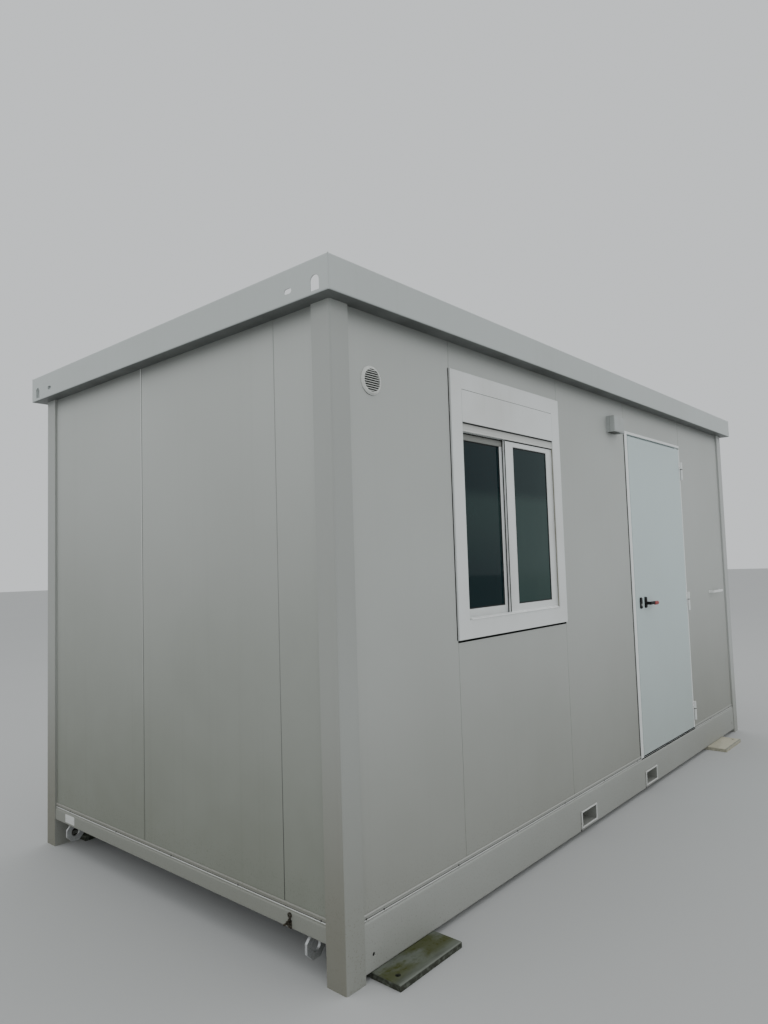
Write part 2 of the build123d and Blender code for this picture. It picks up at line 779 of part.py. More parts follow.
# Door frame: jambs and head round the leaf, stops behind it, a low threshold.
# The hinge jamb stands back, because the leaf's lip closes over it.
frame_back_y = panel_face_y + wall_thickness
stop_y = leaf_inside_y + stop_gap
hinge_jamb_y = door_face_y + leaf_lip + leaf_lip_gap
with BuildPart() as door_frame:
    with BuildSketch(Plane.XY.offset(wall_bottom)):
        with BuildLine():
            Polyline(
                (door_left, door_face_y),
                (door_left + jamb_face, door_face_y),
                (door_left + jamb_face, stop_y),
                (door_left + jamb_face + stop_width, stop_y),
                (door_left + jamb_face + stop_width, frame_back_y),
                (door_left, frame_back_y),
                close=True,
            )
        make_face()
        with BuildLine():
            Polyline(
                (door_right, hinge_jamb_y),
                (door_right - jamb_face, hinge_jamb_y),
                (door_right - jamb_face, stop_y),
                (door_right - jamb_face - stop_width, stop_y),
                (door_right - jamb_face - stop_width, frame_back_y),
                (door_right, frame_back_y),
                close=True,
            )
        make_face()
    extrude(amount=door_top - wall_bottom)
    with BuildSketch(Plane.YZ.offset(door_left)):
        with BuildLine():
            Polyline(
                (door_face_y, door_top),
                (door_face_y, door_top - head_face),
                (stop_y, door_top - head_face),
                (stop_y, door_top - head_face - head_gap - stop_width),
                (frame_back_y, door_top - head_face - head_gap - stop_width),
                (frame_back_y, door_top),
                close=True,
            )
        make_face()
    extrude(amount=door_frame_width)
    with BuildSketch(Plane.XY.offset(wall_bottom)):
        with BuildLine():
            Polyline(
                (door_left, door_face_y),
                (door_right, door_face_y),
                (door_right, frame_back_y),
                (door_left, frame_back_y),
                close=True,
            )
        make_face()
    extrude(amount=threshold_height)
save(door_frame, "door_frame")

# Door leaf: flush with the frame at the lock side, with a lip over the hinge jamb
with BuildPart() as door_leaf:
    with BuildSketch(Plane.XY.offset(leaf_bottom)):
        with BuildLine():
            Polyline(
                (leaf_left, door_face_y),
                (leaf_lip_right, door_face_y),
                (leaf_lip_right, door_face_y + leaf_lip),
                (leaf_right, door_face_y + leaf_lip),
                (leaf_right, leaf_inside_y),
                (leaf_left, leaf_inside_y),
                close=True,
            )
        make_face()
    extrude(amount=leaf_top - leaf_bottom)
    face_edges = door_leaf.faces().sort_by(Axis.Y)[0].edges()
    chamfer(face_edges, leaf_edge_chamfer)
    with BuildSketch(Plane.XZ.offset(-door_face_y)):
        with Locations((lever_x, lock_height)):
            Circle(spindle_radius + running_clearance)
    extrude(amount=-leaf_thickness, mode=Mode.SUBTRACT)
save(door_leaf, "door_leaf")

# Hinges: the lower barrel and its pin stay on the frame, the knuckle above turns with the leaf
hinge_heights = [leaf_bottom + hinge_low, leaf_bottom + hinge_middle, leaf_top - hinge_from_top]
with BuildPart() as hinge_pins:
    for hinge_z in hinge_heights:
        with BuildSketch(Plane.XY.offset(hinge_z - barrel_length)):
            with Locations((hinge_x, hinge_y)):
                Circle(hinge_radius)
            with Locations((hinge_x, panel_face_y - hinge_wing_thickness)):
                Rectangle(hinge_wing, hinge_wing_thickness, align=(Align.MIN, Align.MIN))
            with Locations((hinge_x, (hinge_y + panel_face_y) / 2)):
                Rectangle(hinge_radius, panel_face_y - hinge_y, align=(Align.MIN, Align.CENTER))
        extrude(amount=barrel_length - hinge_split)
        with BuildSketch(Plane.XY.offset(hinge_z - hinge_split)):
            with Locations((hinge_x, hinge_y)):
                Circle(hinge_pin_radius)
        extrude(amount=knuckle_length / 2 + hinge_split)
save(hinge_pins, "hinge_pins")

with BuildPart() as hinge_knuckles:
    for hinge_z in hinge_heights:
        with BuildSketch(Plane.XY.offset(hinge_z)):
            with Locations((hinge_x, hinge_y)):
                Circle(hinge_radius)
            with Locations((hinge_x, door_face_y - hinge_wing_thickness)):
                Rectangle(hinge_wing, hinge_wing_thickness, align=(Align.MAX, Align.MIN))
        extrude(amount=knuckle_length)
        with BuildSketch(Plane.XY.offset(hinge_z)):
            with Locations((hinge_x, hinge_y)):
                Circle(hinge_pin_radius + running_clearance)
        extrude(amount=knuckle_length / 2 + 2 * hinge_split, mode=Mode.SUBTRACT)
save(hinge_knuckles, "hinge_knuckles")

# Lock plates: a cylinder plate near the edge and a lever plate beside it
plate_centre_z = lock_height + lock_plate_rise
with BuildPart() as lock_plates:
    with BuildSketch(Plane.XZ.offset(-door_face_y)):
        with Locations((leaf_left + cylinder_from_edge, plate_centre_z), (lever_x, plate_centre_z)):
            RectangleRounded(lock_plate_width, lock_plate_height, lock_plate_width / 3)
        with Locations((lever_x, lock_height)):
            Circle(spindle_radius + running_clearance, mode=Mode.SUBTRACT)
    extrude(amount=lock_plate_thickness)
    for plate_face in lock_plates.faces().group_by(Axis.Y)[0]:
        chamfer(plate_face.outer_wire().edges(), lock_plate_chamfer)
    with BuildSketch(Plane.XZ.offset(-leaf_inside_y)):
        with Locations((lever_x, plate_centre_z)):
            RectangleRounded(lock_plate_width, lock_plate_height, lock_plate_width / 3)
        with Locations((lever_x, lock_height)):
            Circle(spindle_radius + running_clearance, mode=Mode.SUBTRACT)
    extrude(amount=-lock_plate_thickness)
save(lock_plates, "lock_plates")

# Lever: a grip on each side of the leaf on one spindle, a coloured cap on the outer tip
outer_plate_y = door_face_y - lock_plate_thickness
inner_plate_y = leaf_inside_y + lock_plate_thickness
neck_length = lever_reach - lock_plate_thickness - lever_plate_gap
grip_start = lever_x - neck_radius
cap_start = lever_x + lever_length - lever_cap_length
with BuildPart() as lever:
    with BuildSketch(Plane.XZ.offset(-outer_plate_y + lever_plate_gap + neck_length)):
        with Locations((grip_start, lock_height)):
            Rectangle(cap_start - grip_start, lever_height, align=(Align.MIN, Align.CENTER))
    extrude(amount=-lever_thickness)
    with BuildSketch(Plane.XZ.offset(-inner_plate_y - lever_plate_gap - neck_length)):
        with Locations((grip_start, lock_height)):
            Rectangle(lever_length + neck_radius, lever_height, align=(Align.MIN, Align.CENTER))
    extrude(amount=lever_thickness)
    fillet(lever.edges().filter_by(Axis.X), lever_thickness / 4)
    for plate_y, way in ((outer_plate_y, -1), (inner_plate_y, 1)):
        with BuildSketch(Plane.XZ.offset(-plate_y - way * lever_plate_gap)):
            with Locations((lever_x, lock_height)):
                Circle(neck_radius)
        extrude(amount=-way * (neck_length - lever_thickness / 2))
    with BuildSketch(Plane.XZ.offset(-outer_plate_y + lever_plate_gap)):
        with Locations((lever_x, lock_height)):
            Circle(spindle_radius)
    extrude(amount=-(inner_plate_y - outer_plate_y + 2 * lever_plate_gap))
save(lever, "lever")

with BuildPart() as lever_cap:
    with BuildSketch(Plane.XZ.offset(-outer_plate_y + lever_plate_gap + neck_length)):
        with Locations((cap_start, lock_height)):
            Rectangle(lever_cap_length, lever_height, align=(Align.MIN, Align.CENTER))
    extrude(amount=-lever_thickness)
    fillet(lever_cap.edges().filter_by(Axis.X), lever_thickness / 4)
    tip_edges = lever_cap.faces().sort_by(Axis.X)[-1].edges()
    chamfer(tip_edges, lever_thickness / 8)
save(lever_cap, "lever_cap")

# Door stay: a strap bent twice at each end, so that its bar stands off the panel
stay_end = half_length - stay_from_corner
stay_start = stay_end - stay_length
with BuildPart() as door_stay:
    with BuildSketch(Plane.XY.offset(stay_height - stay_width / 2)):
        with BuildLine():
            FilletPolyline(
                (stay_start - stay_foot, panel_face_y),
                (stay_start, panel_face_y),
                (stay_start, panel_face_y - stay_reach),
                (stay_end, panel_face_y - stay_reach),
                (stay_end, panel_face_y),
                (stay_end + stay_foot, panel_face_y),
                radius=stay_bend,
            )
            offset(amount=stay_strap, side=Side.RIGHT)
        make_face()
    extrude(amount=stay_width)
save(door_stay, "door_stay")

# Light fitting: a rounded housing on the panel beside the door
light_left = door_left - light_width - light_from_joint
light_bottom = soffit - light_drop - light_height
with BuildPart() as light_fitting:
    with BuildSketch(Plane.XZ.offset(-panel_face_y)):
        with Locations((light_left, light_bottom)):
            Rectangle(light_width, light_height, align=(Align.MIN, Align.MIN))
    extrude(amount=light_depth)
    front_edges = light_fitting.faces().sort_by(Axis.Y)[0].edges()
    fillet(front_edges, light_edge_radius)
save(light_fitting, "light_fitting")

# Anchor lugs: eight-sided plates with an eye, hung across the end rails on a neck
lug_centre_z = end_rail_bottom - lug_drop + lug_width / 2
with BuildPart() as anchor_lugs:
    for side_y in (-1, 1):
        lug_y = side_y * (half_width - lug_from_corner)
        with BuildSketch(Plane.XZ.offset(-lug_y)):
            for side_x in (-1, 1):
                lug_x = side_x * (half_length - lug_from_end)
                with Locations((lug_x, lug_centre_z)):
                    RegularPolygon(lug_width / 2, 8, major_radius=False, rotation=22.5)
                with Locations((lug_x, end_rail_bottom)):
                    Rectangle(lug_neck, lug_drop - lug_width / 2, align=(Align.CENTER, Align.MAX))
                with Locations((lug_x, lug_centre_z)):
                    Circle(lug_hole_radius, mode=Mode.SUBTRACT)
        extrude(amount=lug_thickness / 2, both=True)
save(anchor_lugs, "anchor_lugs")

# Earth terminal: a strap on the rail's web with an eye at its top, and a nut on a stud
terminal_y = -half_width + terminal_from_corner
with BuildPart() as earth_terminal:
    with BuildSketch(Plane.YZ.offset(web_face_x)):
        with Locations((terminal_y, terminal_bottom)):
            Rectangle(terminal_stem, terminal_eye_height - terminal_bottom, align=(Align.CENTER, Align.MIN))
            Rectangle(
                terminal_width,
                terminal_stud_height + terminal_nut_radius - terminal_bottom,
                align=(Align.CENTER, Align.MIN),
            )
        with Locations((terminal_y, terminal_eye_height)):
            Circle(terminal_eye_radius)
            Circle(terminal_eye_hole, mode=Mode.SUBTRACT)
    extrude(amount=-terminal_thickness)
    with BuildSketch(Plane.YZ.offset(web_face_x - terminal_thickness)):
        with Locations((terminal_y, terminal_stud_height)):
            Circle(terminal_stud_radius)
    extrude(amount=-terminal_stud_length)
    with BuildSketch(Plane.YZ.offset(web_face_x - terminal_thickness)):
        with Locations((terminal_y, terminal_stud_height)):
            RegularPolygon(terminal_nut_radius, 6)
    extrude(amount=-terminal_nut_thickness)
save(earth_terminal, "earth_terminal")

# Pads: boards under the long rails near each post, standing out past the cabin
with BuildPart() as support_pads:
    for side_x, pad_from_corner in ((-1, pad_from_left), (1, pad_from_right)):
        pad_end = side_x * (half_length - pad_from_corner)
        for side_y in (-1, 1):
            pad_edge_y = side_y * (half_width + pad_reach)
            with BuildSketch():
                with Locations((pad_end - side_x * pad_length / 2, pad_edge_y - side_y * pad_depth / 2)):
                    Rectangle(pad_length, pad_depth)
                with Locations((pad_end - side_x * pad_hole_from_end, pad_edge_y - side_y * pad_hole_from_edge)):
                    Circle(pad_hole_radius, mode=Mode.SUBTRACT)
            extrude(amount=long_rail_bottom)
    top_edges = support_pads.faces().filter_by(Axis.Z).group_by(Axis.Z)[-1].edges().filter_by(GeomType.LINE)
    chamfer(top_edges, pad_edge)
save(support_pads, "support_pads")
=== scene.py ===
"""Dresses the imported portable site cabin: its finishes, its small fixings, a studio and the camera."""

import logging
import math
from dataclasses import dataclass, field
from enum import Enum

import bmesh
import bpy
import numpy as np
from mathutils import Matrix, Vector


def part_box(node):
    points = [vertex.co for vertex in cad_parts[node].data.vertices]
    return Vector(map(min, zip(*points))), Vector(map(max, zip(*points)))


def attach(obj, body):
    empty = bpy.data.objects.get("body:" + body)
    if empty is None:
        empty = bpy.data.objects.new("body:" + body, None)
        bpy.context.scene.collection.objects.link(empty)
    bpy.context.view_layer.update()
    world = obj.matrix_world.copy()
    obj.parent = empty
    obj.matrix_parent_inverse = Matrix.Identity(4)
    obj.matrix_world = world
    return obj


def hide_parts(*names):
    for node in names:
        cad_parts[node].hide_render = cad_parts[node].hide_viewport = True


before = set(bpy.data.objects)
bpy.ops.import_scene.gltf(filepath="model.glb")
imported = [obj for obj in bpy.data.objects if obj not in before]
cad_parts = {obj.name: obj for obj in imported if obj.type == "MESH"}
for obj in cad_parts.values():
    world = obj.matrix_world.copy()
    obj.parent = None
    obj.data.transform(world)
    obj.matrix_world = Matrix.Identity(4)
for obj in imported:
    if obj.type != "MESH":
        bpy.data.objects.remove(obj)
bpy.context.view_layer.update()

log = logging.getLogger("cabin")

Setting = str | int | float | bool | tuple | list
Colour = tuple[float, float, float, float]
Triple = tuple[float, float, float]
Size = float | np.ndarray


def tone(red: float, green: float, blue: float) -> Colour:
    """Turn a colour as a screen shows it, 0 to 255, into the linear colour that a shader takes.

    Args:
        red: Red part, 0 to 255.
        green: Green part, 0 to 255.
        blue: Blue part, 0 to 255.

    Returns:
        Red, green, blue and an alpha of 1, linear.
    """
    shown = np.array([red, green, blue]) / 255.0
    linear = np.where(shown <= 0.04045, shown / 12.92, ((shown + 0.055) / 1.055) ** 2.4)
    return (*linear.tolist(), 1.0)


class Wire:
    """A socket in an expression: operators on it add Math nodes to its sheet."""

    def __init__(self, sheet: "Sheet", socket: bpy.types.NodeSocket | None) -> None:
        """Hold the socket, or none for a node that ends the tree, and the sheet that it is on."""
        self.sheet = sheet
        self.socket = socket

    def maths(self, operation: str, *operands: "Wire | float") -> "Wire":
        """Add one Math node.

        Args:
            operation: The node's operation.
            operands: Its inputs, in order.

        Returns:
            The node's value.
        """
        return self.sheet.node("ShaderNodeMath", {"operation": operation}, dict(enumerate(operands)))

    def __add__(self, other: "Wire | float") -> "Wire":
        """Sum."""
        return self.maths("ADD", self, other)

    def __radd__(self, other: float) -> "Wire":
        """Sum with a number on the left."""
        return self.maths("ADD", other, self)

    def __sub__(self, other: "Wire | float") -> "Wire":
        """Difference."""
        return self.maths("SUBTRACT", self, other)

    def __rsub__(self, other: float) -> "Wire":
        """Difference from a number on the left."""
        return self.maths("SUBTRACT", other, self)

    def __mul__(self, other: "Wire | float") -> "Wire":
        """Product."""
        return self.maths("MULTIPLY", self, other)

    def __rmul__(self, other: float) -> "Wire":
        """Product with a number on the left."""
        return self.maths("MULTIPLY", other, self)

    def __pow__(self, power: float) -> "Wire":
        """Power."""
        return self.maths("POWER", self, power)

    def __abs__(self) -> "Wire":
        """Size without its sign."""
        return self.maths("ABSOLUTE", self)

    def ramp(self, low: float, high: float) -> "Wire":
        """Rise smoothly from 0 at low to 1 at high; low may be the larger of the two.

        Args:
            low: The value that gives 0.
            high: The value that gives 1.

        Returns:
            The mask.
        """
        ends = {"Value": self, "From Min": low, "From Max": high}
        return self.sheet.node("ShaderNodeMapRange", {"interpolation_type": "SMOOTHSTEP"}, ends)


class Sheet:
    """The node tree of one material, with the few helpers that the finishes share."""

    def __init__(self, name: str) -> None:
        """Start an empty material.

        Args:
            name: The material's name.
        """
        self.material = bpy.data.materials.new(name)
        self.material.use_nodes = True
        self.tree = self.material.node_tree
        self.tree.nodes.clear()
        self.place = self.node("ShaderNodeTexCoord", output="Object")

    def node(
        self,
        kind: str,
        settings: dict[str, Setting] | None = None,
        sockets: dict[str | int, "Wire | Setting"] | None = None,
        output: str | int = 0,
    ) -> Wire:
        """Add any node.

        Args:
            kind: The node's type.
            settings: Its properties, set before its sockets.
            sockets: Values or links for its inputs, by name or number.
            output: The output that is wanted.

        Returns:
            That output.
        """
        made = self.tree.nodes.new(kind)
        for name, value in (settings or {}).items():
            setattr(made, name, value)
        for key, value in (sockets or {}).items():
            if isinstance(value, Wire):
                self.tree.links.new(value.socket, made.inputs[key])
            else:
                made.inputs[key].default_value = value
        return Wire(self, made.outputs[output] if made.outputs else None)

    def noise(self, scale: float, detail: float = 3.0, stretch: Triple = (1, 1, 1)) -> Wire:
        """Cloudy noise from 0 to 1.

        Args:
            scale: Blobs in a metre.
            detail: Octaves added.
            stretch: A further scale along each axis, small where the blobs are long.

        Returns:
            The noise.
        """
        place = self.place
        if stretch != (1, 1, 1):
            sockets = {"Vector": place, "Scale": stretch}
            place = self.node("ShaderNodeMapping", {"vector_type": "POINT"}, sockets)
        return self.node("ShaderNodeTexNoise", None, {"Vector": place, "Scale": scale, "Detail": detail})

    def cells(self, scale: float, feature: str = "F1", output: str = "Distance") -> Wire:
        """Voronoi cells, so many in a metre."""
        sockets = {"Vector": self.place, "Scale": scale}
        return self.node("ShaderNodeTexVoronoi", {"feature": feature}, sockets, output)

    def facing(self, axis: str) -> Wire:
        """How far the surface looks along an axis, -1 to 1."""
        normal = self.node("ShaderNodeNewGeometry", output="Normal")
        return self.node("ShaderNodeSeparateXYZ", None, {0: normal}, axis)

    def part(self, axis: str) -> Wire:
        """One object coordinate, X, Y or Z, in metres."""
        return self.node("ShaderNodeSeparateXYZ", None, {0: self.place}, axis)

    def mixed(self, mask: "Wire | float", first: "Wire | Colour", second: "Wire | Colour") -> Wire:
        """First colour where the mask is 0, second where it is 1."""
        mix = {"data_type": "RGBA", "clamp_factor": True}
        return self.node("ShaderNodeMix", mix, {0: mask, 6: first, 7: second}, 2)

    def bumped(self, height: Wire, distance: float, strength: float = 1.0) -> Wire:
        """A normal from a height map, with its relief in metres."""
        sockets = {"Height": height, "Distance": distance, "Strength": strength}
        return self.node("ShaderNodeBump", None, sockets)

    def finish(self, **inputs: "Wire | Setting") -> bpy.types.Material:
        """End the tree in a Principled shader.

        Args:
            inputs: Its sockets, with an underscore for each space.

        Returns:
            The finished material.
        """
        named = {name.replace("_", " "): value for name, value in inputs.items()}
        shader = self.node("ShaderNodeBsdfPrincipled", None, named)
        self.node("ShaderNodeOutputMaterial", None, {"Surface": shader})
        return self.material


@dataclass(frozen=True)
class CoatedSteel:
    """Coated sheet: slow drift of tone, faint rain runs, painted shade that darkens it towards the ground
    with a little dust, fine orange peel.
    """

    name: str
    colour: Colour
    dusty: Colour
    roughness: float = 0.42
    drift: float = 0.10
    runs: float = 0.03
    # Strength of the darkening towards the ground: painted shade, with a little dust.
    film_and_painted_light: float = 0.3
    film_and_shade_top: float = 1.2
    grit: float = 0.25
    grit_top: float = 0.42
    # Painted shade on faces that look along X, darker towards the ground.
    ends: float = 0.0
    # Height of the roof's overhang, under which a painted shadow darkens the paint.
    eaves_shadow: float = 0.0
    # Strength of painted shade on faces that look down.
    underside_shade: float = 0.0
    peel: float = 0.00006
    chips: float = 0.0

    def paint(self) -> bpy.types.Material:
        """Build the material.

        Dust is drift times slow noise, plus runs times noise drawn out upright, plus grit in fine
        specks under grit_top. To it is added painted shade: a smooth ramp from a set height to the
        ground that darkens the paint towards the ground, with a little dust in it, and on faces that
        look along X a further painted shade that also darkens towards the ground. A near-black
        painted shadow lies just under the roof's overhang, where its height is set, and painted shade
        on faces that look down. Chips are small cells near the ground that show primer and rust.

        Returns:
            The finished material.
        """
        sheet = Sheet(self.name)
        slow = sheet.noise(0.9, 3.0)
        upright = sheet.noise(1.0, 5.0, (34.0, 34.0, 0.3)).ramp(0.52, 0.82)
        broken = sheet.noise(7.0, 6.0)
        height = sheet.part("Z")
        specks = sheet.noise(150.0, 4.0).ramp(0.55, 0.7) * height.ramp(self.grit_top, 0.15)
        # Painted shade: the paint darkens smoothly towards the ground; it is summed into the dust mask, so
        # that mask holds painted shade as well as dust.
        low = height.ramp(self.film_and_shade_top, 0.0) * (0.95 + broken * 0.1)
        dust = slow.ramp(0.3, 0.8) * self.drift + upright * self.runs + low * self.film_and_painted_light + specks * self.grit
        # Painted shade: faces that look along X darken towards the ground.
        if self.ends:
            end_shade = abs(sheet.facing("X")).ramp(0.6, 0.9)
            dust = dust + end_shade * height.ramp(self.film_and_shade_top + 1.0, 0.0) * self.ends
        colour = sheet.mixed(dust, self.colour, self.dusty)
        # Painted shade: a near-black tone, used for the painted shadow under the overhang and on faces that
        # look down.
        shade_tone = tone(48, 50, 48)
        if self.eaves_shadow:
            eaves_shadow_mask = height.ramp(self.eaves_shadow - 0.14, self.eaves_shadow) ** 2.0
            colour = sheet.mixed(eaves_shadow_mask * 0.5, colour, shade_tone)
        # Painted shade on faces that look down.
        if self.underside_shade:
            down = sheet.facing("Z").ramp(-0.4, -0.9) * (0.85 + broken * 0.3)
            colour = sheet.mixed(down * self.underside_shade, colour, shade_tone)
        if self.chips:
            chipped = sheet.cells(55.0).ramp(0.16, 0.06) * sheet.noise(3.0, 4.0).ramp(0.5, 0.62)
            rust = chipped * height.ramp(0.35, 0.02) * self.chips
            colour = sheet.mixed(rust, colour, tone(104, 74, 52))
        fine = sheet.noise(420.0, 2.0)
        wavy = sheet.noise(6.0, 2.0)
        relief = sheet.bumped(fine + wavy * 4.0, self.peel)
        gloss = self.roughness + dust * 0.28 + (fine - 0.5) * 0.08
        return sheet.finish(Base_Color=colour, Roughness=gloss, Normal=relief, Specular_IOR_Level=0.4)


@dataclass(frozen=True)
class WindowPlastic:
    """White window profile: smooth, a little yellowed, dusty in patches, with painted shade under a set
    height where that is given.
    """

    name: str
    colour: Colour
    dusty: Colour
    roughness: float = 0.32
    shade_top: float = 0.0
    shade_depth: float = 0.03

    def paint(self) -> bpy.types.Material:
        """Build the material.

        Dust is slow noise times upright noise, and gloss falls with it. Under a set height, where
        that is given, painted shade deepens towards the edge above, as under the shutter's lid.

        Returns:
            The finished material.
        """
        sheet = Sheet(self.name)
        slow = sheet.noise(2.2, 4.0)
        runs = sheet.noise(1.0, 4.0, (60.0, 60.0, 2.5))
        dust = slow.ramp(0.35, 0.85) * 0.35 + (runs * slow).ramp(0.3, 0.6) * 0.12
        colour = sheet.mixed(dust, self.colour, self.dusty)
        # Painted shade: darker towards the set height, as under the shutter's lid.
        if self.shade_top:
            under = sheet.part("Z").ramp(self.shade_top - self.shade_depth, self.shade_top)
            colour = sheet.mixed(under * 0.7, colour, tone(112, 112, 106))
        grain = sheet.noise(700.0, 2.0)
        return sheet.finish(
            Base_Color=colour,
            Roughness=self.roughness + dust * 0.3,
            Normal=sheet.bumped(grain, 0.00002),
            Coat_Weight=0.12,
            Coat_Roughness=0.2,
        )


@dataclass(frozen=True)
class DoublePane:
    """Sealed double pane: dark, a faint teal cast, with a lighter tone on the front pane that is painted
    reflection as well as dust.
    """

    name: str
    colour: Colour
    film_and_painted_light: Colour
    alpha: float
    meeting: float
    head: float

    def paint(self) -> bpy.types.Material:
        """Build the material.

        A lighter teal tone, painted reflection with a little dust, lies on the front pane, right of
        the meeting stile, and is stronger lower down; on the pane behind it is a band that fades
        downwards. Smears and dried drops, real dirt, break it up. Alpha rises where the tone lies.

        Returns:
            The finished material.
        """
        sheet = Sheet(self.name)
        smears = sheet.noise(3.0, 5.0, (1.0, 1.0, 0.5)).ramp(0.45, 0.8)
        drops = sheet.cells(90.0).ramp(0.2, 0.1) * sheet.noise(8.0, 2.0).ramp(0.5, 0.7)
        # Painted reflection: a lighter teal tone on the front pane and a band on the pane behind.
        front = sheet.part("X").ramp(self.meeting, self.meeting + 0.02)
        down = sheet.part("Z").ramp(self.head - 0.25, self.head - 0.33)
        rising = sheet.part("Z").ramp(self.head - 0.75, self.head - 0.35)
        behind = (1.0 - front) * down * rising * 0.22
        film_and_painted_light = front * (0.1 + down * 0.28) + behind + smears * 0.08 + drops * 0.08
        return sheet.finish(
            Base_Color=sheet.mixed(film_and_painted_light, self.colour, self.film_and_painted_light),
            Roughness=0.03 + film_and_painted_light * 0.25,
            Alpha=self.alpha + film_and_painted_light * 0.2,
            Specular_IOR_Level=0.16,
        )


@dataclass(frozen=True)
class Galvanised:
    """Hot-dip zinc: spangle cells of slightly different grey, dull where it has weathered."""

    name: str
    bright: Colour
    dull: Colour
    spangle: float = 130.0
    metallic: float = 0.85

    def paint(self) -> bpy.types.Material:
        """Build the material: each cell has its own share of dull zinc, and slow noise adds bloom.

        Returns:
            The finished material.
        """
        sheet = Sheet(self.name)
        spangles = sheet.cells(self.spangle, output="Color")
        cell = sheet.node("ShaderNodeSeparateColor", None, {0: spangles}, "Red")
        bloom = sheet.noise(5.0, 5.0).ramp(0.4, 0.75)
        shade = cell * 0.5 + bloom * 0.5
        return sheet.finish(
            Base_Color=sheet.mixed(shade, self.bright, self.dull),
            Metallic=self.metallic,
            Roughness=0.36 + shade * 0.26,
            Normal=sheet.bumped(cell, 0.00004),
        )


@dataclass(frozen=True)
class Moulded:
    """Moulded plastic or rubber: a fine grain, a little dust, scuffs that are lighter."""

    name: str
    colour: Colour
    scuffed: Colour
    roughness: float = 0.5
    grain: float = 0.00004
    shine: float = 0.5

    def paint(self) -> bpy.types.Material:
        """Build the material: scuffs are noise drawn out along X, and dust is slow noise.

        Returns:
            The finished material.
        """
        sheet = Sheet(self.name)
        scuffs = sheet.noise(30.0, 6.0, (0.3, 1.0, 2.0)).ramp(0.58, 0.78)
        dust = sheet.noise(9.0, 4.0).ramp(0.45, 0.9)
        wear = scuffs * 0.35 + dust * 0.3
        return sheet.finish(
            Base_Color=sheet.mixed(wear, self.colour, self.scuffed),
            Roughness=self.roughness + wear * 0.2,
            Normal=sheet.bumped(sheet.noise(900.0, 2.0), self.grain),
            Specular_IOR_Level=self.shine,
        )


@dataclass(frozen=True)
class VentMoulding:
    """Pale moulding, with painted shade further into the bore behind the blades' noses and on faces that look
    down.
    """

    name: str
    colour: Colour
    dusty: Colour
    vent_shade_tone: Colour
    axis: tuple[float, float]
    nose: float
    bore: float = 0.046

    def paint(self) -> bpy.types.Material:
        """Build the material.

        Inside the bore, measured from its axis, painted shade deepens with the distance behind the
        blades' noses. Outside it, painted shade lies on faces that look down.

        Returns:
            The finished material.
        """
        sheet = Sheet(self.name)
        across, up = sheet.part("X") - self.axis[0], sheet.part("Z") - self.axis[1]
        inside = (across * across + up * up).ramp(self.bore**2, (0.97 * self.bore) ** 2)
        inward = sheet.part("Y").ramp(self.nose + 0.0015, self.nose + 0.0055)
        down = sheet.facing("Z").ramp(-0.4, -0.9)
        slow = sheet.noise(40.0, 4.0)
        colour = sheet.mixed(slow.ramp(0.4, 0.8) * 0.15, self.colour, self.dusty)
        # Painted shade: near black in the bore behind the noses, and on faces that look down.
        dark = inside * inward * 0.92 + (1.0 - inside) * down * 0.9
        return sheet.finish(
            Base_Color=sheet.mixed(dark, colour, self.vent_shade_tone),
            Roughness=0.42 + slow * 0.1,
            Normal=sheet.bumped(sheet.noise(700.0, 2.0), 0.00003),
        )


@dataclass(frozen=True)
class FloorBoard:
    """Sealed plywood: long grain along X in boards, a scuffed sealer."""

    name: str
    light: Colour
    dark: Colour

    def paint(self) -> bpy.types.Material:
        """Build the material: grain is noise drawn out along X, and knots are rare cells.

        Returns:
            The finished material.
        """
        sheet = Sheet(self.name)
        grain = sheet.noise(40.0, 8.0, (0.05, 1.0, 1.0))
        bands = sheet.noise(6.0, 3.0, (0.15, 1.0, 1.0))
        knots = sheet.cells(3.0).ramp(0.07, 0.01)
        mix = grain.ramp(0.35, 0.7) * 0.6 + bands.ramp(0.4, 0.7) * 0.3 + knots * 0.6
        return sheet.finish(
            Base_Color=sheet.mixed(mix, self.light, self.dark),
            Roughness=0.45 + sheet.noise(3.0, 5.0).ramp(0.4, 0.7) * 0.2,
            Normal=sheet.bumped(grain, 0.0002),
        )


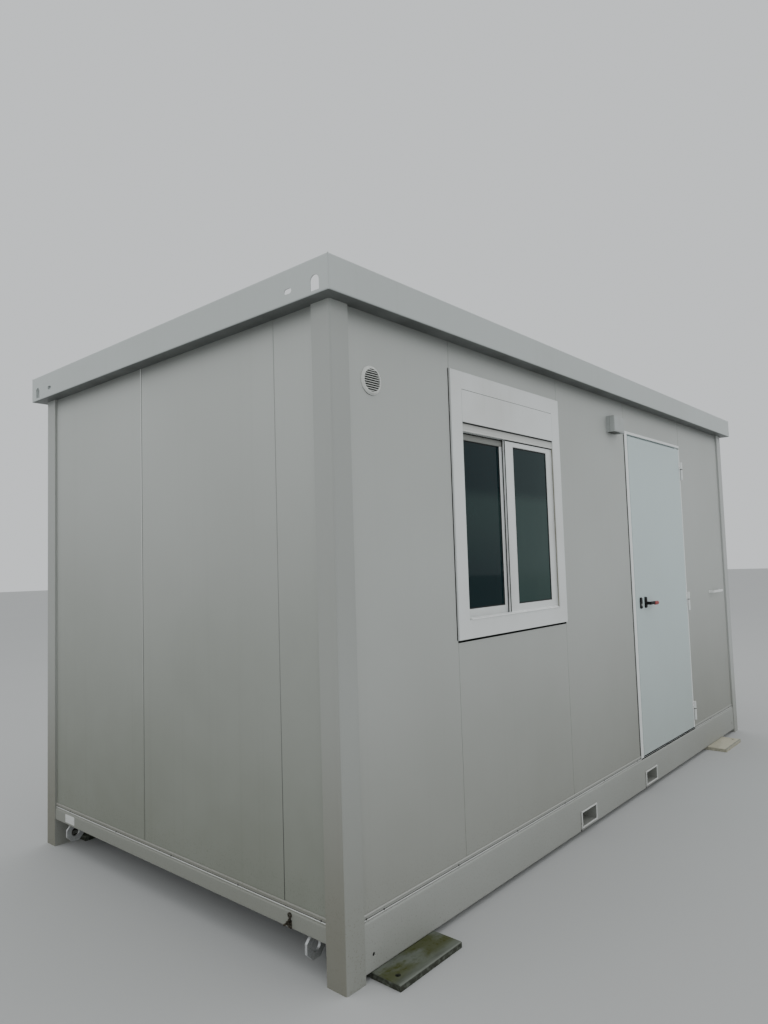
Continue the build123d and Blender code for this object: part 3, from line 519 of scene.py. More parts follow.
@dataclass(frozen=True)
class MossyBoard:
    """Weathered board: grey, with yellow-green lichen on top, dark damp sides, pale edges, a dry pale end."""

    name: str
    board: Colour
    damp: Colour
    lichen: Colour
    worn: Colour
    dry: Colour
    top: float
    outer_y: float

    def paint(self) -> bpy.types.Material:
        """Build the material.

        The sides are damp below the top face; lichen is noise above a threshold along the middle
        of the top face; the worn band follows the top edges, broken by noise. The boards at the
        cabin's right end are drier and paler.

        Returns:
            The finished material.
        """
        sheet = Sheet(self.name)
        height = sheet.part("Z")
        reach = abs(sheet.part("Y"))
        grain = sheet.noise(24.0, 8.0, (0.25, 1.0, 1.0))
        patches = sheet.noise(11.0, 7.0, (0.5, 1.0, 1.0))
        spots = sheet.noise(60.0, 5.0)
        on_top = height.ramp(self.top - 0.006, self.top - 0.001)
        dry = sheet.part("X").ramp(-0.1, 0.1)
        colour = sheet.mixed(grain.ramp(0.35, 0.8) * 0.6, self.board, self.damp)
        colour = sheet.mixed(dry * 0.85, colour, self.dry)
        middle = reach.ramp(self.outer_y - 0.008, self.outer_y - 0.055)
        lichen = (patches.ramp(0.44, 0.6) * 0.8 + spots.ramp(0.5, 0.7) * 0.3) * on_top * middle
        colour = sheet.mixed(lichen * (1.0 - dry * 0.8), colour, self.lichen)
        side = (1.0 - on_top) * spots.ramp(0.2, 0.6) * (1.0 - dry * 0.6)
        colour = sheet.mixed(side * 0.9, colour, self.damp)
        rim = reach.ramp(self.outer_y - 0.012, self.outer_y - 0.003)
        edge = height.ramp(self.top - 0.005, self.top - 0.002) * rim
        colour = sheet.mixed(edge * grain.ramp(0.2, 0.5) * 0.8, colour, self.worn)
        relief = sheet.bumped(grain + spots * 0.6, 0.0012)
        return sheet.finish(Base_Color=colour, Roughness=0.82 + (spots - 0.5) * 0.1, Normal=relief)


@dataclass(frozen=True)
class AgedBronze:
    """Dark bronze with a rubbed, lighter bloom and a rough skin."""

    name: str
    dark: Colour
    rubbed: Colour

    def paint(self) -> bpy.types.Material:
        """Build the material: the bloom is fine noise.

        Returns:
            The finished material.
        """
        sheet = Sheet(self.name)
        bloom = sheet.noise(160.0, 5.0)
        return sheet.finish(
            Base_Color=sheet.mixed(bloom.ramp(0.4, 0.75), self.dark, self.rubbed),
            Metallic=0.7,
            Roughness=0.45 + bloom * 0.25,
            Normal=sheet.bumped(bloom, 0.0003),
        )


@dataclass(frozen=True)
class StudioFloor:
    """Plain pale studio floor, matt."""

    name: str
    colour: Colour

    def paint(self) -> bpy.types.Material:
        """Build the material: a faint cloud keeps it from looking flat.

        Returns:
            The finished material.
        """
        sheet = Sheet(self.name)
        cloud = sheet.noise(0.6, 3.0)
        shade = tuple(0.96 * part for part in self.colour[:3]) + (1.0,)
        return sheet.finish(Base_Color=sheet.mixed(cloud, self.colour, shade), Roughness=0.85)


class Side(Enum):
    """An outer side of the cabin, by its outward direction seen from above."""

    FRONT = (0.0, -1.0)
    BACK = (0.0, 1.0)
    LEFT = (-1.0, 0.0)
    RIGHT = (1.0, 0.0)

    def axes(self) -> np.ndarray:
        """The side's own axes, a right-handed set.

        Returns:
            Rows: along the side, up, and outwards.
        """
        outward = np.array([*self.value, 0.0])
        up = np.array([0.0, 0.0, 1.0])
        return np.stack([np.cross(up, outward), up, outward])


LEVEL_UP = np.eye(3)


@dataclass
class Form:
    """A surface: its points, and its faces in blocks of equal corner count."""

    points: np.ndarray
    faces: list[np.ndarray]

    def placed(self, axes: np.ndarray, spots: np.ndarray) -> "Form":
        """Turn the form to the axes' rows and copy it to every spot.

        A copy's point is the form's point times the axes, plus the spot.

        Args:
            axes: Three rows, where the form's x, y and z go.
            spots: Places, one row each.

        Returns:
            All copies as one form.
        """
        turned = self.points @ axes
        spots = np.atleast_2d(np.asarray(spots, float))
        points = (turned[None, :, :] + spots[:, None, :]).reshape(-1, 3)
        shift = np.arange(len(spots)) * len(turned)
        faces = [(block[None] + shift[:, None, None]).reshape(-1, block.shape[1]) for block in self.faces]
        return Form(points, faces)

    @staticmethod
    def joined(forms: "list[Form]") -> "Form":
        """Put several forms into one.

        Args:
            forms: The forms, each numbered from its own first point.

        Returns:
            One form with all their points and faces.
        """
        starts = np.cumsum([0] + [len(form.points) for form in forms[:-1]])
        faces = [block + start for form, start in zip(forms, starts) for block in form.faces]
        return Form(np.concatenate([form.points for form in forms]), faces)

    def piece(
        self,
        name: str,
        material: bpy.types.Material,
        body: str,
        slot: str,
        crease: float = 35.0,
    ) -> bpy.types.Object:
        """Make the object, with its faces turned outwards, and let it ride on a body.

        Args:
            name: The object's name.
            material: Its finish.
            body: The body that it moves with.
            slot: The record's material slot; not used.
            crease: Edges sharper than this many degrees stay sharp.

        Returns:
            The object.
        """
        mesh = bpy.data.meshes.new(name)
        mesh.from_pydata(self.points, [], [row for block in self.faces for row in block.tolist()])
        shell = bmesh.new()
        shell.from_mesh(mesh)
        bmesh.ops.recalc_face_normals(shell, faces=shell.faces)
        shell.to_mesh(mesh)
        shell.free()
        mesh.shade_smooth()
        mesh.set_sharp_from_angle(angle=math.radians(crease))
        mesh.materials.append(material)
        made = bpy.data.objects.new(name, mesh)
        bpy.context.scene.collection.objects.link(made)
        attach(made, body)
        log.info("%s: %d faces on %s", name, len(mesh.polygons), body)
        return made


def loft(rings: np.ndarray, closed: bool = False) -> Form:
    """Join closed rings into a skin.

    Args:
        rings: Points by ring and by place round the ring.
        closed: Join the last ring to the first; otherwise both ends get a flat cap.

    Returns:
        The form: a quad between each two neighbours on two neighbouring rings.
    """
    count, around = rings.shape[:2]
    row, column = np.meshgrid(np.arange(count if closed else count - 1), np.arange(around), indexing="ij")
    after, beside = (row + 1) % count, (column + 1) % around
    corners = [(row, column), (row, beside), (after, beside), (after, column)]
    quads = np.stack([i * around + j for i, j in corners], axis=-1).reshape(-1, 4)
    faces = [quads]
    if not closed:
        first = np.arange(around)[::-1]
        faces += [first[None], first[::-1][None] + (count - 1) * around]
    return Form(rings.reshape(-1, 3), faces)


def lathe(profile: np.ndarray, sides: int = 24, closed: bool = False) -> Form:
    """Turn a profile about the z axis.

    A ring's point is (radius cos a, radius sin a, height), with a evenly spaced.

    Args:
        profile: Rows of radius and height.
        sides: Points round each ring.
        closed: The profile is a closed loop, as on a washer.

    Returns:
        The turned form.
    """
    angle = np.arange(sides) * 2 * np.pi / sides
    outward = np.stack([np.cos(angle), np.sin(angle), np.zeros(sides)], axis=-1)
    rings = profile[:, None, :1] * outward[None] + profile[:, None, 1:] * np.array([0.0, 0.0, 1.0])
    return loft(rings, closed)


def round_rectangle(width: Size, height: Size, radius: Size, steps: int = 5) -> np.ndarray:
    """Outline of a rectangle with round corners, anticlockwise from the right-hand side.

    Each corner's point is the corner's centre plus radius times (cos a, sin a), with a running
    over that corner's quarter. Sizes may be columns of one value for each of several outlines.

    Args:
        width: Along x.
        height: Along y.
        radius: Of the corners.
        steps: Points on each corner.

    Returns:
        Rows of x and y, one outline after another.
    """
    quarter = np.arange(4)[:, None]
    angle = (quarter + np.linspace(0.0, 1.0, steps)[None]) * np.pi / 2
    sign_x, sign_y = np.array([1, -1, -1, 1])[:, None], np.array([1, 1, -1, -1])[:, None]
    x = sign_x * (width / 2 - radius) + radius * np.cos(angle)
    y = sign_y * (height / 2 - radius) + radius * np.sin(angle)
    return np.stack([x, y], axis=-1).reshape(-1, 2)


def circle(radius: float, sides: int) -> np.ndarray:
    """Outline of a circle: radius times (cos a, sin a), with a evenly spaced from 0."""
    angle = np.arange(sides) * 2 * np.pi / sides
    return radius * np.stack([np.cos(angle), np.sin(angle)], axis=-1)


def half_ellipse(width: float, rise: float) -> np.ndarray:
    """Outline of a half ellipse: width (1 - cos a) / 2 along and rise sin a up, a from 0 to pi."""
    angle = np.linspace(0.0, np.pi, 7)
    return np.stack([width * (1 - np.cos(angle)) / 2, rise * np.sin(angle)], axis=-1)


def soft_slab(
    width: float, height: float, depth: float, corner: float, edge: float, steps: int = 5
) -> Form:
    """A slab on the xy plane with round corners and a rounded front edge.

    The front edge is a quarter circle: at angle a the outline draws in by edge (1 - cos a) and
    stands at depth - edge (1 - sin a).

    Args:
        width: Along x.
        height: Along y.
        depth: Along z, from 0.
        corner: Radius of the upright corners.
        edge: Radius of the front edge.
        steps: Points on each quarter.

    Returns:
        The closed slab.
    """
    angle = np.linspace(0.0, np.pi / 2, steps)
    inset = np.concatenate([[0.0], edge * (1 - np.cos(angle))])[:, None, None]
    rise = np.concatenate([[0.0], depth - edge * (1 - np.sin(angle))])
    radius = np.maximum(corner - inset, corner / 4)
    outlines = round_rectangle(width - 2 * inset, height - 2 * inset, radius, steps)
    points = np.column_stack([outlines, np.repeat(rise, 4 * steps)])
    return loft(points.reshape(len(rise), 4 * steps, 3))


def mitred_ring(width: float, height: float, profile: np.ndarray) -> Form:
    """Carry a profile round a rectangle, with mitred corners.

    At each corner the profile's first value moves the point outwards along both sides, and its
    second is the height off the plane.

    Args:
        width: Of the rectangle, along x.
        height: Of the rectangle, along y.
        profile: Closed loop, rows of outward offset and height.

    Returns:
        The closed ring.
    """
    sign = np.array([[1, 1], [-1, 1], [-1, -1], [1, -1]])[:, None, :]
    half = np.array([width / 2, height / 2])
    flat = sign * (half + profile[None, :, :1])
    rings = np.concatenate([flat, np.broadcast_to(profile[None, :, 1:], (4, len(profile), 1))], axis=-1)
    return loft(rings, closed=True)


def bar(start: np.ndarray, end: np.ndarray, outline: np.ndarray, up: Triple) -> Form:
    """A straight bar with a constant outline.

    Args:
        start: Centre of the outline at one end.
        end: Centre of the outline at the other.
        outline: Rows of the outline's two coordinates, across and up.
        up: The direction of the outline's second coordinate.

    Returns:
        The closed bar.
    """
    start, end = np.asarray(start, float), np.asarray(end, float)
    rise = np.asarray(up, float)
    across = np.cross(rise, end - start)
    across = across / np.linalg.norm(across)
    section = outline @ np.stack([across, rise])
    return loft(np.stack([section + start, section + end]))


def facing(side: Side, form: Form, spots: list | np.ndarray) -> Form:
    """Stand a form on one of the cabin's sides at every spot."""
    return form.placed(side.axes(), np.asarray(spots, float))


@dataclass(frozen=True)
class ScrewHead:
    """A washer-head screw: a thin washer with a low dome on it."""

    radius: float = 0.0048
    rise: float = 0.0030
    sides: int = 14

    def form(self) -> Form:
        """The profile goes up the washer's rim, in to the dome and over it."""
        shape = np.array([[1.0, 0.0], [1.0, 0.22], [0.72, 0.34], [0.66, 0.72], [0.5, 0.93], [0.22, 1.0]])
        return lathe(shape * np.array([self.radius, self.rise]), self.sides)


@dataclass
class Finishes:
    """Every finish of the cabin, made once."""

    made: dict[str, bpy.types.Material] = field(default_factory=dict)

    def prepare(self) -> None:
        """Paint all materials."""
        dust = tone(150, 148, 138)
        # The next two tones are what the paint darkens towards: painted shade towards the ground, with some
        # grime.
        grime_and_shade = tone(128, 127, 116)
        end_shade_and_grime = tone(127, 130, 119)
        pads_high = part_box("support_pads")[1]
        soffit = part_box("roof_rail_front")[0].z
        sash_low, sash_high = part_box("window_sash_right")
        lid_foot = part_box("shutter_box")[0].z
        vent_low, vent_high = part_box("vent_grille")
        vent_axis = ((vent_low.x + vent_high.x) / 2, (vent_low.z + vent_high.z) / 2)
        low_film_and_shade = {"film_and_painted_light": 0.5, "film_and_shade_top": 0.7}
        finishes = (
            # The walls darken towards the ground and just under the roof's overhang: painted shade, with a
            # little dust.
            CoatedSteel("long wall coat", tone(190, 193, 189), grime_and_shade, film_and_painted_light=0.62, film_and_shade_top=1.5, eaves_shadow=soffit),
            CoatedSteel("end wall coat", tone(192, 195, 191), end_shade_and_grime, film_and_painted_light=0.9, film_and_shade_top=2.5, eaves_shadow=soffit),
            # A darker copy of the frame paint for three posts: painted shade.
            CoatedSteel("shaded post coat", tone(174, 177, 173), grime_and_shade, film_and_painted_light=0.52, ends=0.42, chips=0.8),
            CoatedSteel("long rail coat", tone(188, 191, 188), grime_and_shade, chips=0.8, **low_film_and_shade),
            # A darker copy of the rail paint for the end rails: painted shade.
            CoatedSteel("shaded end rail coat", tone(149, 152, 146), grime_and_shade, chips=0.8, **low_film_and_shade),
            # Its faces that look down are darkened: painted shade.
            CoatedSteel(
                "roof rail coat", tone(196, 202, 200), dust, roughness=0.36, drift=0.14, runs=0.05,
                film_and_painted_light=0.0, grit=0.0, underside_shade=0.84,
            ),
            CoatedSteel("door coat", tone(206, 222, 222), dust, roughness=0.34, film_and_painted_light=0.4),
            CoatedSteel("door frame coat", tone(246, 249, 248), dust, roughness=0.34, drift=0.06, film_and_painted_light=0.15),
            CoatedSteel(
                "ceiling coat", tone(222, 222, 218), dust, roughness=0.5, runs=0.0, film_and_painted_light=0.0, grit=0.0,
            ),
            CoatedSteel("flashing coat", tone(178, 181, 177), grime_and_shade, ends=0.4, chips=0.8, **low_film_and_shade),
            # A lighter copy of the flashing paint for the drip lip: painted highlight.
            CoatedSteel("lit fold coat", tone(200, 202, 198), grime_and_shade, ends=0.35, chips=0.5, **low_film_and_shade),
            # A pale coat: the bare plate's own colour, and painted highlight on the pocket rims and the
            # flashing's bead.
            CoatedSteel("pale coat and highlight", tone(230, 232, 229), grime_and_shade, film_and_painted_light=0.25, grit=0.1, chips=0.5),
            CoatedSteel(
                "hinge coat", tone(246, 248, 246), dust, roughness=0.3, film_and_painted_light=0.12, grit=0.1, chips=0.3,
            ),
            WindowPlastic("window profile", tone(238, 241, 240), tone(186, 182, 170)),
            # A darker copy of the window profile for the slats, darkest under the lid: painted shade.
            WindowPlastic("shaded slat profile", tone(222, 223, 219), tone(172, 169, 160), shade_top=lid_foot),
            # A lighter copy of the window profile for the sill strip and the stile's middle strip: painted
            # highlight.
            WindowPlastic("lit profile", tone(250, 252, 251), tone(214, 212, 204), roughness=0.26),
            # The second tone is the painted reflection's colour.
            DoublePane("double pane", tone(2, 34, 38), tone(76, 100, 92), 0.9, sash_low.x, sash_high.z),
            Galvanised("zinc sheet", tone(176, 180, 184), tone(136, 140, 142)),
            Galvanised(
                "zinc hardware", tone(206, 208, 208), tone(160, 162, 160), spangle=220.0, metallic=0.55,
            ),
            FloorBoard("floor board", tone(150, 124, 92), tone(104, 80, 54)),
            Moulded("black moulding", tone(16, 16, 17), tone(44, 44, 44), roughness=0.55, shine=0.3),
            Moulded("red moulding", tone(158, 34, 30), tone(196, 92, 82), roughness=0.38),
            Moulded("grey moulding", tone(182, 186, 184), tone(150, 150, 142), roughness=0.45),
            VentMoulding("vent moulding", tone(226, 228, 223), dust, tone(20, 20, 19), vent_axis, vent_low.y),
            CoatedSteel(
                "near joint", tone(146, 148, 144), tone(44, 45, 42), film_and_painted_light=1.0, film_and_shade_top=1.6, grit=0.0,
            ),
            # A lighter copy of the wall paint for the strips beside the far joints: painted highlight,
            # darkening towards the ground as painted shade.
            CoatedSteel("lit cover coat", tone(218, 220, 217), end_shade_and_grime, film_and_painted_light=1.0, film_and_shade_top=2.3, grit=0.0),
            Moulded("far joint", tone(98, 100, 97), tone(120, 120, 114), roughness=0.8, shine=0.2),
            Moulded("jamb seal", tone(96, 97, 94), tone(74, 74, 70), roughness=0.8, shine=0.2),
            Moulded("rubber seal", tone(24, 25, 25), tone(58, 57, 54), roughness=0.72),
            Moulded(
                "foam seal", tone(148, 142, 126), tone(104, 99, 86), roughness=0.9, grain=0.0004, shine=0.2,
            ),
            Moulded("shaded profile", tone(146, 147, 142), tone(112, 112, 106), roughness=0.5),
            Moulded("wet seal", tone(14, 14, 14), tone(32, 31, 29), roughness=0.8, shine=0.1),
            Moulded("screw coat", tone(78, 78, 74), tone(44, 43, 40), roughness=0.5),
            AgedBronze("aged bronze", tone(48, 44, 37), tone(112, 106, 92)),
            MossyBoard(
                "mossy board", tone(106, 112, 101), tone(38, 40, 27), tone(66, 71, 22), tone(116, 120, 112),
                tone(212, 207, 186), pads_high.z, pads_high.y,
            ),
        )
        for finish in finishes:
            self.made[finish.name] = finish.paint()

    def dress(self) -> None:
        """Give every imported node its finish, by assigning to its material slots."""
        nodes = {
            "long wall coat": [
                "front_panel_corner", "front_panel_window", "front_panel_middle", "front_panel_over_door",
                "front_panel_right", "back_wall",
            ],
            "end wall coat": ["left_wall", "right_wall"],
            "shaded post coat": [
                "corner_post_front_left", "corner_post_back_left", "corner_post_back_right",
            ],
            # The front right post takes the lighter rail coat, not the darker post coat: painted light that
            # sets it apart from the other posts.
            "long rail coat": [
                "bottom_rail_front", "bottom_rail_back", "fork_pockets", "corner_post_front_right",
            ],
            "flashing coat": ["drip_flashing"],
            "shaded end rail coat": ["bottom_rail_left", "bottom_rail_right"],
            "roof rail coat": ["roof_rail_front", "roof_rail_back", "roof_rail_left", "roof_rail_right"],
            "zinc sheet": ["roof_deck", "floor_joists", "floor_pan"],
            "zinc hardware": ["anchor_lugs"],
            "ceiling coat": ["ceiling"],
            "floor board": ["floor_board"],
            "grey moulding": ["light_fitting"],
            "vent moulding": ["vent_grille"],
            "window profile": ["window_frame", "shutter_box", "window_sash_left", "window_sash_right"],
            "shaded slat profile": ["shutter_slats"],
            "double pane": ["window_glass"],
            "door coat": ["door_leaf"],
            "door frame coat": ["door_frame"],
            "hinge coat": ["hinge_pins", "hinge_knuckles", "door_stay"],
            "black moulding": ["lock_plates", "lever"],
            "red moulding": ["lever_cap"],
            "aged bronze": ["earth_terminal"],
            "mossy board": ["support_pads"],
        }
        for finish, members in nodes.items():
            for member in members:
                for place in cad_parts[member].material_slots:
                    place.material = self.made[finish]
        left = set(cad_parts) - {member for members in nodes.values() for member in members}
        log.info("nodes without a finish: %s", sorted(left))

    def __getitem__(self, name: str) -> bpy.types.Material:
        """A finish by its name."""
        return self.made[name]


@dataclass
class BaseTrim:
    """The flashing's lip, seam, bead and screws, the end walls' joints, pocket rims and a bare plate."""

    finishes: Finishes
    screw_height: float = 0.2135
    long_pitch: float = 0.4776
    long_first: float = -2.134
    long_count: int = 10
    end_pitch: float = 0.482
    end_first: float = -1.026
    end_count: int = 5
    corner_inset: float = 0.1075
    door_margin: float = 0.03
    lip_height: float = 0.0062
    lip_reach: float = 0.0030
    seam_height: float = 0.0026
    seam_proud: float = 0.0007
    bead_radius: float = 0.0024
    rim_width: float = 0.0085
    rim_rise: float = 0.0055
    pocket_width: float = 0.186
    plate_width: float = 0.1
    plate_height: float = 0.042
    plate_thickness: float = 0.0012
    plate_from_corner: float = 0.265
    plate_lift: float = 0.002
    rivet_inset: float = 0.008
    plug_radius: float = 0.006
    plug_drop: float = 0.010
    near_joint: float = -0.8265
    far_joint: float = 0.1595
    joint_depth: float = 0.0014
    cover_width: float = 0.006
    cover_depth: float = 0.0016
    cover_gap: float = 0.003

    def along_sides(self, outline: np.ndarray) -> Form:
        """Run an outline along the flashing between the posts, and not across the doorway.

        Args:
            outline: Rows of height and reach outwards from the flashing's face.

        Returns:
            The runs on all four sides.
        """
        low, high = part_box("drip_flashing")
        door_low, door_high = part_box("door_frame")
        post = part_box("corner_post_front_left")[1]
        long_run, end_run = -post.x, -post.y
        section = np.column_stack([-outline[:, 1], outline[:, 0]])
        runs = (
            (Side.FRONT, (0.0, low.y, 0.0), -long_run, door_low.x),
            (Side.FRONT, (0.0, low.y, 0.0), door_high.x, long_run),
            (Side.BACK, (0.0, high.y, 0.0), -long_run, long_run),
            (Side.LEFT, (low.x, 0.0, 0.0), -end_run, end_run),
            (Side.RIGHT, (high.x, 0.0, 0.0), -end_run, end_run),
        )
        return Form.joined([
            facing(side, bar((start, 0, 0), (end, 0, 0), section, (0, 1, 0)), [spot])
            for side, spot, start, end in runs
        ])

    def folds(self) -> None:
        """A sloping drip lip on the flashing's top edge, a dark seam and a round bead under it.

        The lip's top slopes from the panel to its nose. The bead is half a circle seen end on. Lip
        and bead are paler than the flashing, a painted highlight; the dark seam stands for the
        shadow in the gap at the screws, partly a real joint.
        """
        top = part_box("drip_flashing")[1].z
        foot, reach = top - self.lip_height / 2, self.lip_reach
        lip = np.array([
            [foot, 0.0], [foot, 0.7 * reach], [foot + 0.0012, reach],
            [foot + 0.0026, 0.9 * reach], [foot + self.lip_height, 0.0],
        ])
        self.along_sides(lip).piece("drip_lip", self.finishes["lit fold coat"], "cabin", "frame_paint")
        # The seam is a dark strip that stands for a shadowed gap: painted shadow, partly a real joint.
        under, proud = self.screw_height - self.seam_height / 2, self.seam_proud
        over = under + self.seam_height
        seam = np.array([[under, 0.0], [under, proud], [over, proud], [over, 0.0]])
        self.along_sides(seam).piece("flashing_shadow_seam", self.finishes["screw coat"], "cabin", "black_plastic")
        angle = np.linspace(-np.pi / 2, np.pi / 2, 7)
        radius = self.bead_radius
        centre = under - radius
        bead = np.stack([centre + radius * np.sin(angle), radius * np.cos(angle)], axis=-1)
        self.along_sides(bead).piece("flashing_bead", self.finishes["pale coat and highlight"], "cabin", "frame_paint")

    def long_spots(self) -> np.ndarray:
        """Space the screws of a long side evenly, with one more near each post.

        Returns:
            Their places along the side, in order.
        """
        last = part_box("drip_flashing")[1].x - self.corner_inset
        even = self.long_first + self.long_pitch * np.arange(self.long_count)
        return np.sort(np.concatenate([even, [-last, last]]))

    def screws(self) -> None:
        """Small dark washer heads on all four sides, none across the doorway."""
        low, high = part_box("drip_flashing")
        door_low, door_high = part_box("door_frame")
        head = ScrewHead().form()
        x = self.long_spots()
        beside = (x < door_low.x - self.door_margin) | (x > door_high.x + self.door_margin)
        y = self.end_first + self.end_pitch * np.arange(self.end_count)
        level = self.screw_height
        sides = (
            (Side.FRONT, [(spot, low.y, level) for spot in x[beside]]),
            (Side.BACK, [(spot, high.y, level) for spot in x]),
            (Side.LEFT, [(low.x, spot, level) for spot in y]),
            (Side.RIGHT, [(high.x, spot, level) for spot in y]),
        )
        heads = Form.joined([facing(side, head, spots) for side, spots in sides])
        heads.piece("base_screws", self.finishes["screw coat"], "cabin", "fixings")

    def pockets(self) -> None:
        """A round-edged rim on both ends of each fork pocket, and a dark plug below its left corner.

        The rim is half an ellipse seen end on, round the tube's opening.
        """
        low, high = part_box("fork_pockets")
        width, height = self.pocket_width, high.z - low.z
        rim = half_ellipse(self.rim_width, self.rim_rise) - (self.rim_width, 0)
        ring = mitred_ring(width, height, rim)
        plug = ScrewHead(self.plug_radius, 0.002).form()
        rail_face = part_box("bottom_rail_front")[0].y
        middle_x, middle_z = high.x - width / 2, (low.z + high.z) / 2
        middles = (-middle_x, middle_x)
        rims, plugs = [], []
        ends = ((Side.FRONT, 1, low.y, rail_face), (Side.BACK, -1, high.y, -rail_face))
        for side, way, pocket_face, web_face in ends:
            rims.append(facing(side, ring, [(x, pocket_face, middle_z) for x in middles]))
            corners = [(x - way * width / 2, web_face, low.z - self.plug_drop) for x in middles]
            plugs.append(facing(side, plug, corners))
        # The rims take the pale coat as a painted highlight.
        Form.joined(rims).piece("pocket_rims", self.finishes["pale coat and highlight"], "cabin", "frame_paint", 60.0)
        Form.joined(plugs).piece("pocket_plugs", self.finishes["rubber seal"], "cabin", "black_plastic")

    def plate(self) -> None:
        """A thin bare plate with two rivets at the far end of the left end rail."""
        rail_low, rail_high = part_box("bottom_rail_left")
        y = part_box("corner_post_back_left")[1].y - self.plate_from_corner
        z = (rail_low.z + rail_high.z) / 2 + self.plate_lift
        slab = soft_slab(self.plate_width, self.plate_height, self.plate_thickness, 0.004, 0.0004)
        facing(Side.LEFT, slab, [(rail_low.x, y, z)]).piece(
            "bare_plate", self.finishes["pale coat and highlight"], "cabin", "fixings"
        )
        gap = self.plate_width / 2 - self.rivet_inset
        rivets = [(rail_low.x - self.plate_thickness, y + side * gap, z) for side in (-1, 1)]
        facing(Side.LEFT, ScrewHead(0.003, 0.0014).form(), rivets).piece(
            "plate_rivets", self.finishes["zinc hardware"], "cabin", "fixings"
        )

    def upright(self, side: Side, outline: np.ndarray, y: float, depth: float) -> Form:
        """Run an outline up an end wall, from the flashing to the wall's top.

        Args:
            side: The left or the right end.
            outline: Rows of the outline's coordinates along the wall and outwards.
            y: The run's place along the wall.
            depth: How far it lies behind the wall's face.

        Returns:
            The closed run.
        """
        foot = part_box("drip_flashing")[1].z
        wall_low, wall_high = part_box("left_wall")
        along, _, outward = side.axes()
        spot = np.array([0.0, y, 0.0]) + (-wall_low.x - depth) * outward
        section = outline @ np.stack([along, outward]) + spot
        return loft(np.stack([section + (0, 0, foot), section + (0, 0, wall_high.z)]))

    def joints(self) -> None:
        """Sealant in the end walls' panel joints, and a pale cover strip beside each far one, pale as a
        painted highlight.
        """
        bead = np.array([[-0.0026, 0.0], [-0.0012, 0.0009], [0.0012, 0.0009], [0.0026, 0.0]])
        cover = round_rectangle(self.cover_width, self.cover_depth, 0.0006, 3)
        cover_y = self.far_joint + 0.5 * self.cover_width + self.cover_gap
        ends = (Side.LEFT, Side.RIGHT)
        near = [self.upright(side, bead, self.near_joint, self.joint_depth) for side in ends]
        far = [self.upright(side, bead, self.far_joint, self.joint_depth) for side in ends]
        covers = [self.upright(side, cover, cover_y, 0.0) for side in ends]
        Form.joined(near).piece("near_joint_seals", self.finishes["near joint"], "cabin", "black_plastic")
        Form.joined(far).piece("far_joint_seals", self.finishes["far joint"], "cabin", "black_plastic")
        Form.joined(covers).piece("joint_covers", self.finishes["lit cover coat"], "cabin", "wall_paint")

    def build(self) -> None:
        """Make all of it."""
        self.joints()
        self.folds()
        self.screws()
        self.pockets()
        self.plate()


